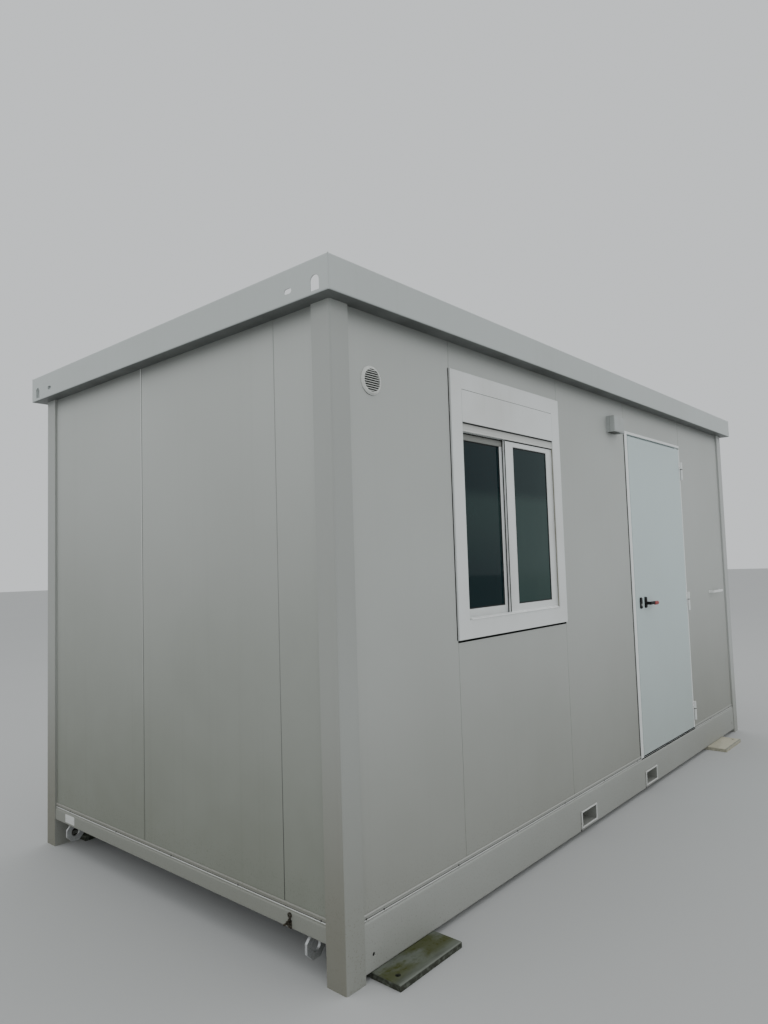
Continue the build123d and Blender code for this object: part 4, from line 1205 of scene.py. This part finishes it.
@dataclass
class RoofFixings:
    """Sealed screws beside the deck's seams, strainers over the gutters' outlets, welds at the corners."""

    finishes: Finishes
    seams: int = 7
    rows: int = 9
    edge_rise: float = 0.018
    ridge_rise: float = 0.030
    beside: float = 0.030
    row_inset: float = 0.06
    strainer_radius: float = 0.036
    strainer_rise: float = 0.030
    strainer_lift: float = 0.0035
    ribs: int = 12
    wire: float = 0.0014
    weld: float = 0.0026
    weld_gap: float = 0.001

    def screws(self) -> None:
        """Heads in rows beside each seam, on the deck's slope.

        The slope's height falls evenly from the ridge to the edge.
        """
        low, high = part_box("roof_deck")
        pitch = (high.x - low.x) / (self.seams + 1)
        seam_x = low.x + pitch * np.arange(1, self.seams + 1)
        x = np.concatenate([seam_x - self.beside, seam_x + self.beside])
        y = np.linspace(low.y + self.row_inset, high.y - self.row_inset, self.rows)
        grid_x, grid_y = np.meshgrid(x, y, indexing="ij")
        share = 1 - np.abs(grid_y) / high.y
        z = low.z + self.edge_rise + self.ridge_rise * share
        spots = np.stack([grid_x, grid_y, z], axis=-1).reshape(-1, 3)
        ScrewHead(0.008, 0.006, 10).form().placed(LEVEL_UP, spots).piece(
            "deck_screws", self.finishes["zinc hardware"], "cabin", "galvanised"
        )

    def strainers(self) -> None:
        """A dome of round wires over each corner's outlet.

        A wire's centre line is an arch: radius cos a outwards and rise sin a up, for a from 0 to
        nearly a right angle.
        """
        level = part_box("roof_rail_front")[0].z + self.strainer_lift
        post_low, post_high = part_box("corner_post_front_left")
        middle_x, middle_y = (post_low.x + post_high.x) / 2, (post_low.y + post_high.y) / 2
        radius, rise = self.strainer_radius, self.strainer_rise
        arch = np.linspace(0.0, 0.46 * np.pi, 7)
        flat = np.zeros(7)
        line = np.stack([radius * np.cos(arch), flat, rise * np.sin(arch)], axis=-1)
        tangent = np.stack([-radius * np.sin(arch), flat, rise * np.cos(arch)], axis=-1)
        tangent = tangent / np.linalg.norm(tangent, axis=1, keepdims=True)
        sideways = np.array([0.0, 1.0, 0.0])
        across = np.cross(tangent, sideways)
        turn = (np.arange(6) * np.pi / 3)[None, :, None]
        rib = loft(line[:, None] + self.wire * (np.cos(turn) * across[:, None] + np.sin(turn) * sideways))
        angle = np.arange(self.ribs) * 2 * np.pi / self.ribs
        up = np.array([0.0, 0.0, 1.0])
        outward = np.stack([np.cos(angle), np.sin(angle), 0 * angle], axis=-1)
        turns = np.stack([outward, np.cross(up, outward), np.broadcast_to(up, outward.shape)], axis=1)
        inner, outer = radius - 0.004, radius + 0.008
        foot = lathe(np.array([[inner, 0.0], [outer, 0.0], [outer, 0.003], [inner, 0.003]]), 32, True)
        crown = lathe(np.array([[0.007, rise - 0.002], [0.007, rise + 0.001], [0.004, rise + 0.002]]), 16)
        basket = Form.joined([*(rib.placed(turned, [(0, 0, 0)]) for turned in turns), foot, crown])
        spots = [(x, y, level) for x in (-middle_x, middle_x) for y in (-middle_y, middle_y)]
        basket.placed(LEVEL_UP, spots).piece(
            "gutter_strainers", self.finishes["zinc hardware"], "cabin", "galvanised", 50.0
        )

    def welds(self) -> None:
        """A round weld down the mitre at each outer corner."""
        low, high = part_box("roof_rail_front")
        back_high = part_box("roof_rail_back")[1]
        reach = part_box("roof_rail_right")[1].x - self.weld
        outline = circle(self.weld, 12)
        beads = [
            bar((x, y, low.z + self.weld_gap), (x, y, high.z - self.weld_gap), outline, (0, 1, 0))
            for x in (-reach, reach)
            for y in (low.y + self.weld, back_high.y - self.weld)
        ]
        Form.joined(beads).piece("corner_welds", self.finishes["roof rail coat"], "cabin", "frame_paint")

    def build(self) -> None:
        """Make all of it."""
        self.screws()
        self.strainers()
        self.welds()


@dataclass
class WindowDressing:
    """Seals round the trim, sash frames, panes and gaskets, sill strip, shutter brushes and pile strips."""

    finishes: Finishes
    trim_border: float = 0.082
    rear_margins: tuple[float, float, float, float] = (0.034, 0.045, 0.054, 0.047)
    front_margins: tuple[float, float, float, float] = (0.077, 0.045, 0.058, 0.044)
    glass_setback: float = 0.006
    glass_thickness: float = 0.008
    glass_play: float = 0.0006
    seal_width: float = 0.007
    seal_rise: float = 0.0045
    foot_share: float = 1.5
    gasket_width: float = 0.0045
    gasket_rise: float = 0.0035
    sill_notch: float = 0.016
    sill_nose: float = 0.0035
    sill_overlap: float = 0.001
    end_gap: float = 0.001
    brush_width: float = 0.0022
    brush_depth: float = 0.0045
    brush_setback: float = 0.0065
    lid_brush: float = 0.005
    lid_seam: float = 0.0022
    seam_inset: float = 0.004
    head_brush: float = 0.006
    # Height of the grey strip that paints the shade over the rear sash.
    head_shade_strip: float = 0.028
    pile: float = 0.0012

    def seal(self) -> None:
        """A bulging foam strip between trim and panel up both sides, and a rubber one at the foot.

        Seen end on it is half an ellipse, and it lies outside the trim's edge. The foot's is wider.
        """
        low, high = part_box("window_frame")
        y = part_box("front_panel_window")[0].y
        bulge = half_ellipse(self.seal_width, self.seal_rise)[:, ::-1]
        foot = bar((high.x, y, low.z), (low.x, y, low.z), bulge * (1, self.foot_share), (0, 0, -1))
        foot.piece("trim_foot_seal", self.finishes["rubber seal"], "cabin", "black_plastic")
        strips = [
            bar((low.x, y, low.z), (low.x, y, high.z), bulge, (-1, 0, 0)),
            bar((high.x, y, high.z), (high.x, y, low.z), bulge, (1, 0, 0)),
        ]
        Form.joined(strips).piece("trim_seal", self.finishes["foam seal"], "cabin", "black_plastic")

    def sashes(self) -> None:
        """Sash frames with a round outer edge and a bevel to the glass, their panes and black gaskets.

        A frame's loops are its outer rectangle moved a share of the way to its opening, each at
        its own depth. A gasket is a quarter of an ellipse seen end on, in front of the glass.
        Margins are the frame's widths at the left, foot, right and head.
        """
        angle = np.linspace(0.0, np.pi / 2, 5)
        bead = np.stack([-self.gasket_width * np.sin(angle), self.gasket_rise * np.cos(angle)], axis=-1)
        gasket = np.concatenate([[[0.0005, 0.0], [0.0005, self.gasket_rise]], bead])
        gaskets, panes = [], []
        sash_margins = {"window_sash_left": self.rear_margins, "window_sash_right": self.front_margins}
        for node, margins in sash_margins.items():
            low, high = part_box(node)
            outer = np.array([low.x, low.z, high.x, high.z])
            opening = outer + np.array(margins) * (1, 1, -1, -1)
            depth = high.y - low.y
            profile = np.array([
                [0.0, 0.0014], [0.015, 0.0004], [0.04, 0.0], [0.93, 0.0], [1.0, 0.0032],
                [1.0, depth], [0.0, depth],
            ])
            edges = outer + profile[:, :1] * (opening - outer)
            corners = edges[:, [[2, 3], [0, 3], [0, 1], [2, 1]]]
            level = np.broadcast_to(low.y + profile[:, 1][:, None], corners.shape[:2])
            slim = loft(np.stack([corners[..., 0], level, corners[..., 1]], axis=-1), closed=True)
            name = node.replace("window_", "slim_")
            made = slim.piece(name, self.finishes["window profile"], "cabin", "window_plastic")
            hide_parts(node)
            width, height = opening[2:] - opening[:2]
            middle = (opening[2:] + opening[:2]) / 2
            ring = mitred_ring(width, height, gasket)
            glass_face = low.y + self.glass_setback
            gaskets.append(facing(Side.FRONT, ring, [(middle[0], glass_face, middle[1])]))
            width, height = width - self.glass_play, height - self.glass_play
            pane = soft_slab(width, height, self.glass_thickness, 0.0012, 0.0005, 3)
            back = glass_face + self.glass_thickness
            panes.append(facing(Side.FRONT, pane, [(middle[0], back, middle[1])]))
        Form.joined(gaskets).piece("pane_gaskets", self.finishes["rubber seal"], "cabin", "black_plastic")
        made = Form.joined(panes).piece("panes", self.finishes["double pane"], "cabin", "pane", 5.0)
        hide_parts("window_glass")

    def opening(self) -> tuple[float, float, float, float]:
        """Left, right and bottom of the opening, and the trim's face."""
        low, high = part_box("window_frame")
        return low.x + self.trim_border, high.x - self.trim_border, low.z + self.trim_border, low.y

    def sill(self) -> None:
        """A sloping strip in front of the sashes, with a notch left open at each end.

        Its top falls outwards, and its nose is a half circle.
        """
        left, right, bottom, face = self.opening()
        sash_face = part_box("window_sash_right")[0].y
        nose = self.sill_nose
        angle = np.linspace(-np.pi / 2, np.pi / 2, 6)
        depth = sash_face - face + self.sill_overlap
        front = np.stack([depth + nose * np.cos(angle), nose + nose * np.sin(angle)], axis=-1)
        outline = np.concatenate([[[0.0, 0.0]], front, [[0.0, 3.2 * nose]]])
        start = (left + self.sill_notch, sash_face, bottom)
        end = (right - self.sill_notch, sash_face, bottom)
        flipped = outline * np.array([-1.0, 1.0])
        # The strip takes the lighter profile: painted highlight.
        bar(start, end, flipped[::-1], (0, 0, 1)).piece(
            "sill_strip", self.finishes["lit profile"], "cabin", "window_plastic"
        )

    def brushes(self) -> None:
        """A dark brush strip up each side of the opening, where the shutter runs."""
        left, right, bottom, face = self.opening()
        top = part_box("shutter_slats")[0].z
        outline = round_rectangle(self.brush_width, self.brush_depth, 0.0015, 3)
        strips = []
        y = face + self.brush_setback
        for x in (left + self.brush_width / 2, right - self.brush_width / 2):
            strips.append(bar((x, y, bottom + self.end_gap), (x, y, top), outline, (0, 1, 0)))
        Form.joined(strips).piece("shutter_brushes", self.finishes["foam seal"], "cabin", "black_plastic")

    def across(self, start_x: float, end_x: float, y: float, z: float, height: float) -> Form:
        """A level pile strip.

        Args:
            start_x: Its left end.
            end_x: Its right end.
            y: The face that it stands on.
            z: The height of its middle.
            height: Its own height.

        Returns:
            The strip, which stands proud of its face by the pile.
        """
        outline = round_rectangle(height, 2 * self.pile, 2 * self.pile / 3, 3)
        return bar((start_x, y, z), (end_x, y, z), outline, (0, 1, 0))

    def up_the_stile(self, middle: float, depth: float) -> Form:
        """A strip up the side of the front sash's meeting stile.

        Args:
            middle: Its middle, as a share of the way back to the rear sash.
            depth: Its depth, as a share of the same way.

        Returns:
            The strip, from the sash's foot to its head or the slats.
        """
        low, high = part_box("window_sash_right")
        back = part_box("window_sash_left")[0].y - low.y
        y, top = low.y + middle * back, min(high.z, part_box("shutter_slats")[0].z)
        outline = round_rectangle(depth * back, 2 * self.pile, 2 * self.pile / 3, 3)
        return bar((low.x, y, low.z), (low.x, y, top), outline, (1, 0, 0))

    def weather_strips(self) -> None:
        """Dark pile strips under the lid, over both sashes, and two up the meeting stile's side."""
        left, right = self.opening()[:2]
        left, right = left + self.end_gap, right - self.end_gap
        slats_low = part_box("shutter_slats")[0]
        rear_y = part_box("window_sash_left")[0].y
        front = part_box("window_sash_right")[0]
        before, after = front.x - 2 * self.end_gap, front.x + 2 * self.end_gap
        lid_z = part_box("shutter_box")[0].z - self.lid_brush / 2
        head_z = slats_low.z - self.head_brush / 2
        shade_strip_z = slats_low.z - self.head_brush - self.head_shade_strip / 2
        strips = [
            self.across(left, right, slats_low.y, lid_z, self.lid_brush),
            self.across(after, right, front.y, head_z, self.head_brush),
            self.across(left, before, rear_y, head_z, self.head_brush),
            self.up_the_stile(0.15, 0.22),
            self.up_the_stile(0.84, 0.26),
        ]
        Form.joined(strips).piece("weather_strips", self.finishes["rubber seal"], "cabin", "black_plastic")
        # A grey strip over the rear sash's head: painted shade under the slats.
        shade_strip = self.across(left, before, rear_y, shade_strip_z, self.head_shade_strip)
        low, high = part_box("shutter_box")
        left, right, y = low.x + self.seam_inset, high.x - self.seam_inset, low.y + 0.6 * self.pile
        seam = self.across(left, right, y, high.z, self.lid_seam)
        seam.piece("lid_seam", self.finishes["screw coat"], "cabin", "black_plastic")
        shade_strip.piece("head_shade_strip", self.finishes["shaded profile"], "cabin", "white_plastic")
        # A strip between the two dark ones, in the lighter profile: painted highlight.
        divider = self.up_the_stile(0.48, 0.42)
        divider.piece("strip_divider", self.finishes["lit profile"], "cabin", "window_plastic")

    def build(self) -> None:
        """Make all of it."""
        self.seal()
        self.sashes()
        self.sill()
        self.brushes()
        self.weather_strips()


@dataclass
class DoorDressing:
    """Seals round and under the leaf, its edge lip, lock cylinder, grip, and screws in hinges and stay."""

    finishes: Finishes
    jamb: float = 0.040
    stop_gap: float = 0.005
    bead: float = 0.0042
    bead_inset: float = 0.010
    cylinder_from_edge: float = 0.073
    cylinder_drop: float = 0.012
    cylinder_radius: float = 0.0085
    cylinder_proud: float = 0.0016
    wing_middle: float = 0.022
    sill_rise: float = 0.006
    sweep_gap: float = 0.0015
    sweep_tuck: float = 0.001
    sweep_depth: float = 0.006
    sweep_setback: float = 0.0045
    sweep_insets: tuple[float, float] = (0.002, 0.004)
    nose_proud: float = 0.0012
    end_gap: float = 0.001
    lip_width: float = 0.014
    lip_proud: float = 0.0015
    jamb_bead: float = 0.010
    jamb_bead_rise: float = 0.0035
    bush_radius: float = 0.0088
    bush_height: float = 0.005
    grip: Triple = (0.076, 0.018, 0.026)
    grip_droop: float = 0.003
    grip_reach: float = 0.003
    stay_foot: float = 0.013
    foot_proud: float = 0.005
    wing_proud: float = 0.003
    pin_radius: float = 0.008
    low_split: float = 0.082
    split_pitch: float = 0.797
    top_split: float = 0.050
    leaf_screws: tuple[float, float] = (0.012, 0.038)
    panel_screws: tuple[float, float] = (0.016, 0.066)

    def seals(self) -> None:
        """A round rubber bead on the stops, up both jambs and across the head."""
        low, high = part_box("door_frame")
        leaf_low, leaf_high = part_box("door_leaf")
        y = leaf_high.y + self.stop_gap - self.bead / 2
        inset = self.jamb + self.bead_inset
        left, right = low.x + inset, high.x - inset
        top, bottom = leaf_high.z - self.bead_inset, leaf_low.z
        round_bead = circle(self.bead / 2, 8)
        beads = [
            bar((left, y, bottom), (left, y, top), round_bead, (0, 1, 0)),
            bar((right, y, bottom), (right, y, top), round_bead, (0, 1, 0)),
            bar((left, y, top), (right, y, top), round_bead, (0, 1, 0)),
        ]
        Form.joined(beads).piece("door_seals", self.finishes["rubber seal"], "cabin", "black_plastic")

    def foot(self) -> None:
        """A rubber sweep under the leaf, and a near-black strip along the threshold's front edge that stands
        for the shadow under the leaf.
        """
        low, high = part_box("door_frame")
        leaf_low, leaf_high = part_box("door_leaf")
        sill_top = low.z + self.sill_rise
        gap = leaf_low.z - sill_top - self.sweep_gap
        level = leaf_low.z + (self.sweep_tuck - gap) / 2
        y = leaf_low.y + self.sweep_setback
        start_x, end_x = leaf_low.x + self.sweep_insets[0], leaf_high.x - self.sweep_insets[1]
        outline = round_rectangle(gap + self.sweep_tuck, self.sweep_depth, 0.001, 3)
        sweep = bar((start_x, y, level), (end_x, y, level), outline, (0, 1, 0))
        sweep.piece("leaf_sweep", self.finishes["wet seal"], "door", "black_plastic")
        level = low.z + self.sill_rise / 2
        start_x, end_x = low.x + self.end_gap, high.x - self.end_gap
        outline = round_rectangle(self.sill_rise, 2 * self.nose_proud, 0.001, 3)
        # Painted shadow: a near-black strip on the threshold's face.
        nose = bar((start_x, low.y, level), (end_x, low.y, level), outline, (0, 1, 0))
        nose.piece("threshold_shadow_strip", self.finishes["wet seal"], "cabin", "black_plastic")

    def edges(self) -> None:
        """A folded lip down the leaf's hinge edge, in the frame's whiter coat as a painted highlight, and a
        dark bead down the frame's left edge.

        The bead is half an ellipse seen end on.
        """
        low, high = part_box("door_frame")
        leaf_low, leaf_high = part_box("door_leaf")
        outline = round_rectangle(self.lip_width, 2 * self.lip_proud, self.lip_proud * 0.7, 4)
        x, y = leaf_high.x - self.lip_width / 2, leaf_low.y
        foot, top = leaf_low.z + self.end_gap, leaf_high.z - self.end_gap
        # Painted highlight: the lip is whiter than the leaf.
        lip = bar((x, y, foot), (x, y, top), outline, (0, 1, 0))
        lip.piece("leaf_lip", self.finishes["door frame coat"], "door", "door_paint")
        panel_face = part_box("front_panel_middle")[0].y
        bead = -half_ellipse(self.jamb_bead, self.jamb_bead_rise)
        bar((low.x, panel_face, low.z), (low.x, panel_face, high.z), bead, (0, 1, 0)).piece(
            "jamb_bead", self.finishes["jamb seal"], "cabin", "black_plastic"
        )

    def cylinders(self) -> None:
        """A turned lock cylinder with a keyway in the plate near the leaf's edge."""
        leaf_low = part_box("door_leaf")[0]
        plate_low, plate_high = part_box("lock_plates")
        x = leaf_low.x + self.cylinder_from_edge
        z = (plate_low.z + plate_high.z) / 2 - self.cylinder_drop
        radius, out = self.cylinder_radius, self.cylinder_proud
        rim = [[radius, -0.002], [radius, out * 0.6], [radius - out * 0.5, out]]
        profile = np.array([*rim, [0.5 * radius, out], [0.2 * radius, out]])
        turned = facing(Side.FRONT, lathe(profile, 28), [(x, plate_low.y, z)])
        turned.piece("lock_cylinder", self.finishes["zinc hardware"], "door", "fixings")
        slot = soft_slab(0.0022, 0.0085, 0.0004, 0.0009, 0.0002, 3)
        facing(Side.FRONT, slot, [(x, plate_low.y - out, z)]).piece(
            "keyway", self.finishes["rubber seal"], "door", "black_plastic"
        )

    def tip(self) -> None:
        """The lever's swollen red tip, in place of the plain cap.

        A section at share t of the length is an ellipse, its half sizes times the fourth root of
        1 - (2t - 1)^4.
        """
        low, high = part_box("lever_cap")
        length, depth, height = self.grip
        share = (1 - np.cos(np.linspace(0.06, 0.94, 16) * np.pi)) / 2
        swell = (1 - (2 * share - 1) ** 4) ** 0.25
        angle = np.arange(24) * np.pi / 12
        x = high.x + self.grip_reach - length * (1 - share)
        y = (low.y + high.y) / 2 + np.outer(swell, depth / 2 * np.cos(angle))
        z = (low.z + high.z) / 2 - self.grip_droop + np.outer(swell, height / 2 * np.sin(angle))
        rings = np.stack([np.broadcast_to(x[:, None], y.shape), y, z], axis=-1)
        grip = loft(rings)
        made = grip.piece("lever_tip", self.finishes["red moulding"], "door_lever", "red_plastic", 60.0)
        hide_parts("lever_cap")

    def screws(self) -> None:
        """Countersunk heads in the hinge wings and the stay's feet, a dark bush at each hinge's split."""
        head = ScrewHead(0.0042, 0.0012, 12).form()
        knuckle_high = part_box("hinge_knuckles")[1]
        pins_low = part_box("hinge_pins")[0]
        stay_low, stay_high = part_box("door_stay")
        panel_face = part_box("front_panel_right")[0].y
        wing_face = panel_face - self.wing_proud
        leaf_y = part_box("door_leaf")[0].y - self.wing_proud
        axis_x, axis_y = knuckle_high.x - self.pin_radius, pins_low.y + self.pin_radius
        low_split = pins_low.z + self.low_split
        splits = [low_split, low_split + self.split_pitch, knuckle_high.z - self.top_split]
        leaf_x, panel_x = axis_x - self.wing_middle, axis_x + self.wing_middle
        on_leaf = [(leaf_x, leaf_y, z + rise) for z in splits for rise in self.leaf_screws]
        on_panel = [(panel_x, wing_face, z - drop) for z in splits for drop in self.panel_screws]
        stay_z = (stay_low.z + stay_high.z) / 2
        foot_x = (stay_low.x + self.stay_foot, stay_high.x - self.stay_foot)
        feet = [(x, panel_face - self.foot_proud, stay_z) for x in foot_x]
        ring = np.array([[0.006, 0.0], [1.0, 0.0], [1.0, 1.0], [0.006, 1.0]])
        bush = lathe(ring * np.array([self.bush_radius, self.bush_height]), 20, closed=True)
        bushes = bush.placed(LEVEL_UP, [(axis_x, axis_y, z - self.bush_height) for z in splits])
        bushes.piece("hinge_bushes", self.finishes["wet seal"], "cabin", "black_plastic")
        zinc = self.finishes["zinc hardware"]
        facing(Side.FRONT, head, on_leaf).piece("knuckle_screws", zinc, "door", "fixings")
        facing(Side.FRONT, head, on_panel + feet).piece("hinge_screws", zinc, "cabin", "fixings")

    def build(self) -> None:
        """Make all of it."""
        self.seals()
        self.foot()
        self.edges()
        self.tip()
        self.cylinders()
        self.screws()


@dataclass
class VentMesh:
    """Insect mesh behind the vent's blades, a near-black disc behind it that stands for the shade inside the
    wall, and a short bar over the blades.
    """

    finishes: Finishes
    wires: int = 19
    wire: float = 0.0006
    radius: float = 0.0455
    behind: float = 0.014
    shade_disc: float = 0.004
    shade_disc_gap: float = 0.003
    brow_rise: float = 0.0405
    brow_reach: float = 0.0205
    brow_height: float = 0.003
    brow_depth: float = 0.005
    brow_setback: float = 0.0005

    def build(self) -> None:
        """Make the mesh, the dark disc and the bar.

        A wire's half length is the root of the radius squared less its offset squared.
        """
        low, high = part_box("vent_grille")
        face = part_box("front_panel_corner")[0].y + self.behind
        centre = np.array([(low.x + high.x) / 2, face, (low.z + high.z) / 2])
        offset = np.linspace(-0.92, 0.92, self.wires) * self.radius
        half = np.sqrt(self.radius**2 - offset**2)
        outline = circle(self.wire, 4)
        strands = []
        for shift, reach in zip(offset, half):
            warp, weft = centre + (shift, 0, 0), centre + (0, self.wire, shift)
            strands.append(bar(warp - (0, 0, reach), warp + (0, 0, reach), outline, (0, 1, 0)))
            strands.append(bar(weft - (reach, 0, 0), weft + (reach, 0, 0), outline, (0, 0, 1)))
        # Painted shade: a near-black disc where the bore leads into the dark wall.
        shade_disc = np.array([[self.radius, 0.0], [self.radius, self.shade_disc], [0.5 * self.radius, self.shade_disc * 1.2]])
        facing(Side.FRONT, lathe(shade_disc, 32), [centre + (0, self.shade_disc * 1.2 + self.shade_disc_gap, 0)]).piece(
            "vent_shade_disc", self.finishes["wet seal"], "cabin", "black_plastic"
        )
        Form.joined(strands).piece("vent_mesh", self.finishes["screw coat"], "cabin", "black_plastic")
        brow_y = low.y + self.brow_depth / 2 + self.brow_setback
        brow = np.array([centre[0], brow_y, centre[2] + self.brow_rise])
        edge = round_rectangle(self.brow_height, self.brow_depth, 0.0008, 3)
        bar(brow - (self.brow_reach, 0, 0), brow + (self.brow_reach, 0, 0), edge, (0, 1, 0)).piece(
            "vent_brow", self.finishes["vent moulding"], "cabin", "white_plastic"
        )


@dataclass
class LightDressing:
    """The light fitting's housing seam, a dark strip under its foot that stands for shade, and its two cover
    screws.
    """

    finishes: Finishes
    seam_from_wall: float = 0.022
    seam_width: float = 0.0018
    seam_depth: float = 0.0006
    shade_bar_length: float = 0.085
    shade_bar_depth: float = 0.043
    shade_bar_height: float = 0.008
    shade_bar_inset: float = 0.007
    screw_inset: float = 0.014

    def build(self) -> None:
        """Make a thin dark band round the housing, a dark bar under its foot that is painted shade, and the
        screws.
        """
        low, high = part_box("light_fitting")
        panel_face = high.y
        centre = ((low.x + high.x) / 2, panel_face - self.seam_from_wall, (low.z + high.z) / 2)
        half, out = self.seam_width / 2, self.seam_depth
        band = np.array([[-0.001, -half], [out, -half], [out, half], [-0.001, half]])
        seam = facing(Side.FRONT, mitred_ring(high.x - low.x, high.z - low.z, band), [centre])
        seam.piece("light_seam", self.finishes["shaded profile"], "cabin", "white_plastic")
        # Painted shade: a dark bar under the housing's foot.
        outline = round_rectangle(self.shade_bar_height, self.shade_bar_depth, 0.0015, 3)
        start = np.array([low.x + self.shade_bar_inset, (low.y + panel_face) / 2, low.z])
        lens = bar(start, start + (self.shade_bar_length, 0, 0), outline, (0, 1, 0))
        lens.piece("light_shade_bar", self.finishes["far joint"], "cabin", "black_plastic")
        spots = [(x, low.y, centre[2]) for x in (low.x + self.screw_inset, high.x - self.screw_inset)]
        facing(Side.FRONT, ScrewHead(0.004, 0.0012).form(), spots).piece(
            "light_screws", self.finishes["zinc hardware"], "cabin", "fixings"
        )


@dataclass(frozen=True)
class Viewpoint:
    """The photograph's camera: its place, its direction, its roll and its lens."""

    place: Triple = (-4.1889, -2.9916, 1.4977)
    yaw: float = 40.977
    pitch: float = 3.908
    roll: float = -1.7716
    lens: float = 25.325
    sensor: float = 36.0

    def set_up(self) -> None:
        """Make the camera.

        Forward is (cos yaw cos pitch, sin yaw cos pitch, sin pitch). The level right-hand
        direction is turned about it by the roll.
        """
        yaw, pitch, roll = (math.radians(angle) for angle in (self.yaw, self.pitch, self.roll))
        level_share = math.cos(pitch)
        forward = Vector((math.cos(yaw) * level_share, math.sin(yaw) * level_share, math.sin(pitch)))
        level = Vector((math.sin(yaw), -math.cos(yaw), 0.0))
        right = level * math.cos(roll) + level.cross(forward) * math.sin(roll)
        up = right.cross(forward)
        turn = Matrix((right, up, -forward)).transposed()
        lens = bpy.data.cameras.new("camera")
        lens.lens = self.lens
        lens.sensor_width = self.sensor
        lens.clip_end = 200.0
        camera = bpy.data.objects.new("camera", lens)
        camera.matrix_world = Matrix.Translation(self.place) @ turn.to_4x4()
        bpy.context.scene.collection.objects.link(camera)
        bpy.context.scene.camera = camera


@dataclass(frozen=True)
class Softbox:
    """An area light that looks at a point."""

    name: str
    place: Triple
    aim: Triple
    width: float
    height: float
    power: float
    colour: Triple = (1.0, 1.0, 1.0)

    def hang(self) -> None:
        """Make the light."""
        light = bpy.data.lights.new(self.name, "AREA")
        light.shape = "RECTANGLE"
        light.size, light.size_y = self.width, self.height
        light.energy = self.power
        light.color = self.colour
        lamp = bpy.data.objects.new(self.name, light)
        direction = Vector(self.aim) - Vector(self.place)
        lamp.location = self.place
        lamp.rotation_euler = direction.to_track_quat("-Z", "Y").to_euler()
        bpy.context.scene.collection.objects.link(lamp)


@dataclass
class Studio:
    """A wide pale floor under an even soft light, with softboxes above and to each side."""

    floor_radius: float = 60.0
    floor_tone: Colour = field(default_factory=lambda: tone(190, 191, 190))
    sky: Triple = (0.95, 0.98, 1.0)
    sky_strength: float = 0.8

    def build(self) -> None:
        """Make the floor, the world and the lights."""
        edge = self.floor_radius
        disc = lathe(np.array([[edge, -0.02], [edge, 0.0], [20.0, 0.0], [6.0, 0.0]]), 96)
        mesh = bpy.data.meshes.new("studio_floor")
        mesh.from_pydata(disc.points, [], [row for block in disc.faces for row in block.tolist()])
        mesh.materials.append(StudioFloor("studio floor", self.floor_tone).paint())
        floor = bpy.data.objects.new("studio_floor", mesh)
        bpy.context.scene.collection.objects.link(floor)
        world = bpy.data.worlds.new("studio")
        world.use_nodes = True
        background = world.node_tree.nodes["Background"]
        background.inputs["Color"].default_value = (*self.sky, 1.0)
        background.inputs["Strength"].default_value = self.sky_strength
        bpy.context.scene.world = world
        boxes = (
            Softbox("top_softbox", (0.0, 0.0, 9.0), (0.0, 0.0, 0.0), 12.0, 10.0, 160.0),
            Softbox("front_softbox", (3.5, -10.0, 8.0), (0.5, 0.0, 1.2), 10.0, 5.0, 120.0),
            Softbox("left_softbox", (-8.5, 1.5, 5.5), (-2.4, 0.3, 2.2), 6.0, 3.0, 60.0),
        )
        for box in boxes:
            box.hang()


def main() -> None:
    """Build everything in order."""
    logging.basicConfig(level=logging.INFO, format="%(message)s")
    finishes = Finishes()
    finishes.prepare()
    finishes.dress()
    for assembly in (BaseTrim, RoofFixings, WindowDressing, DoorDressing, VentMesh, LightDressing):
        assembly(finishes).build()
    Viewpoint().set_up()
    Studio().build()


if __name__ == "__main__":
    main()
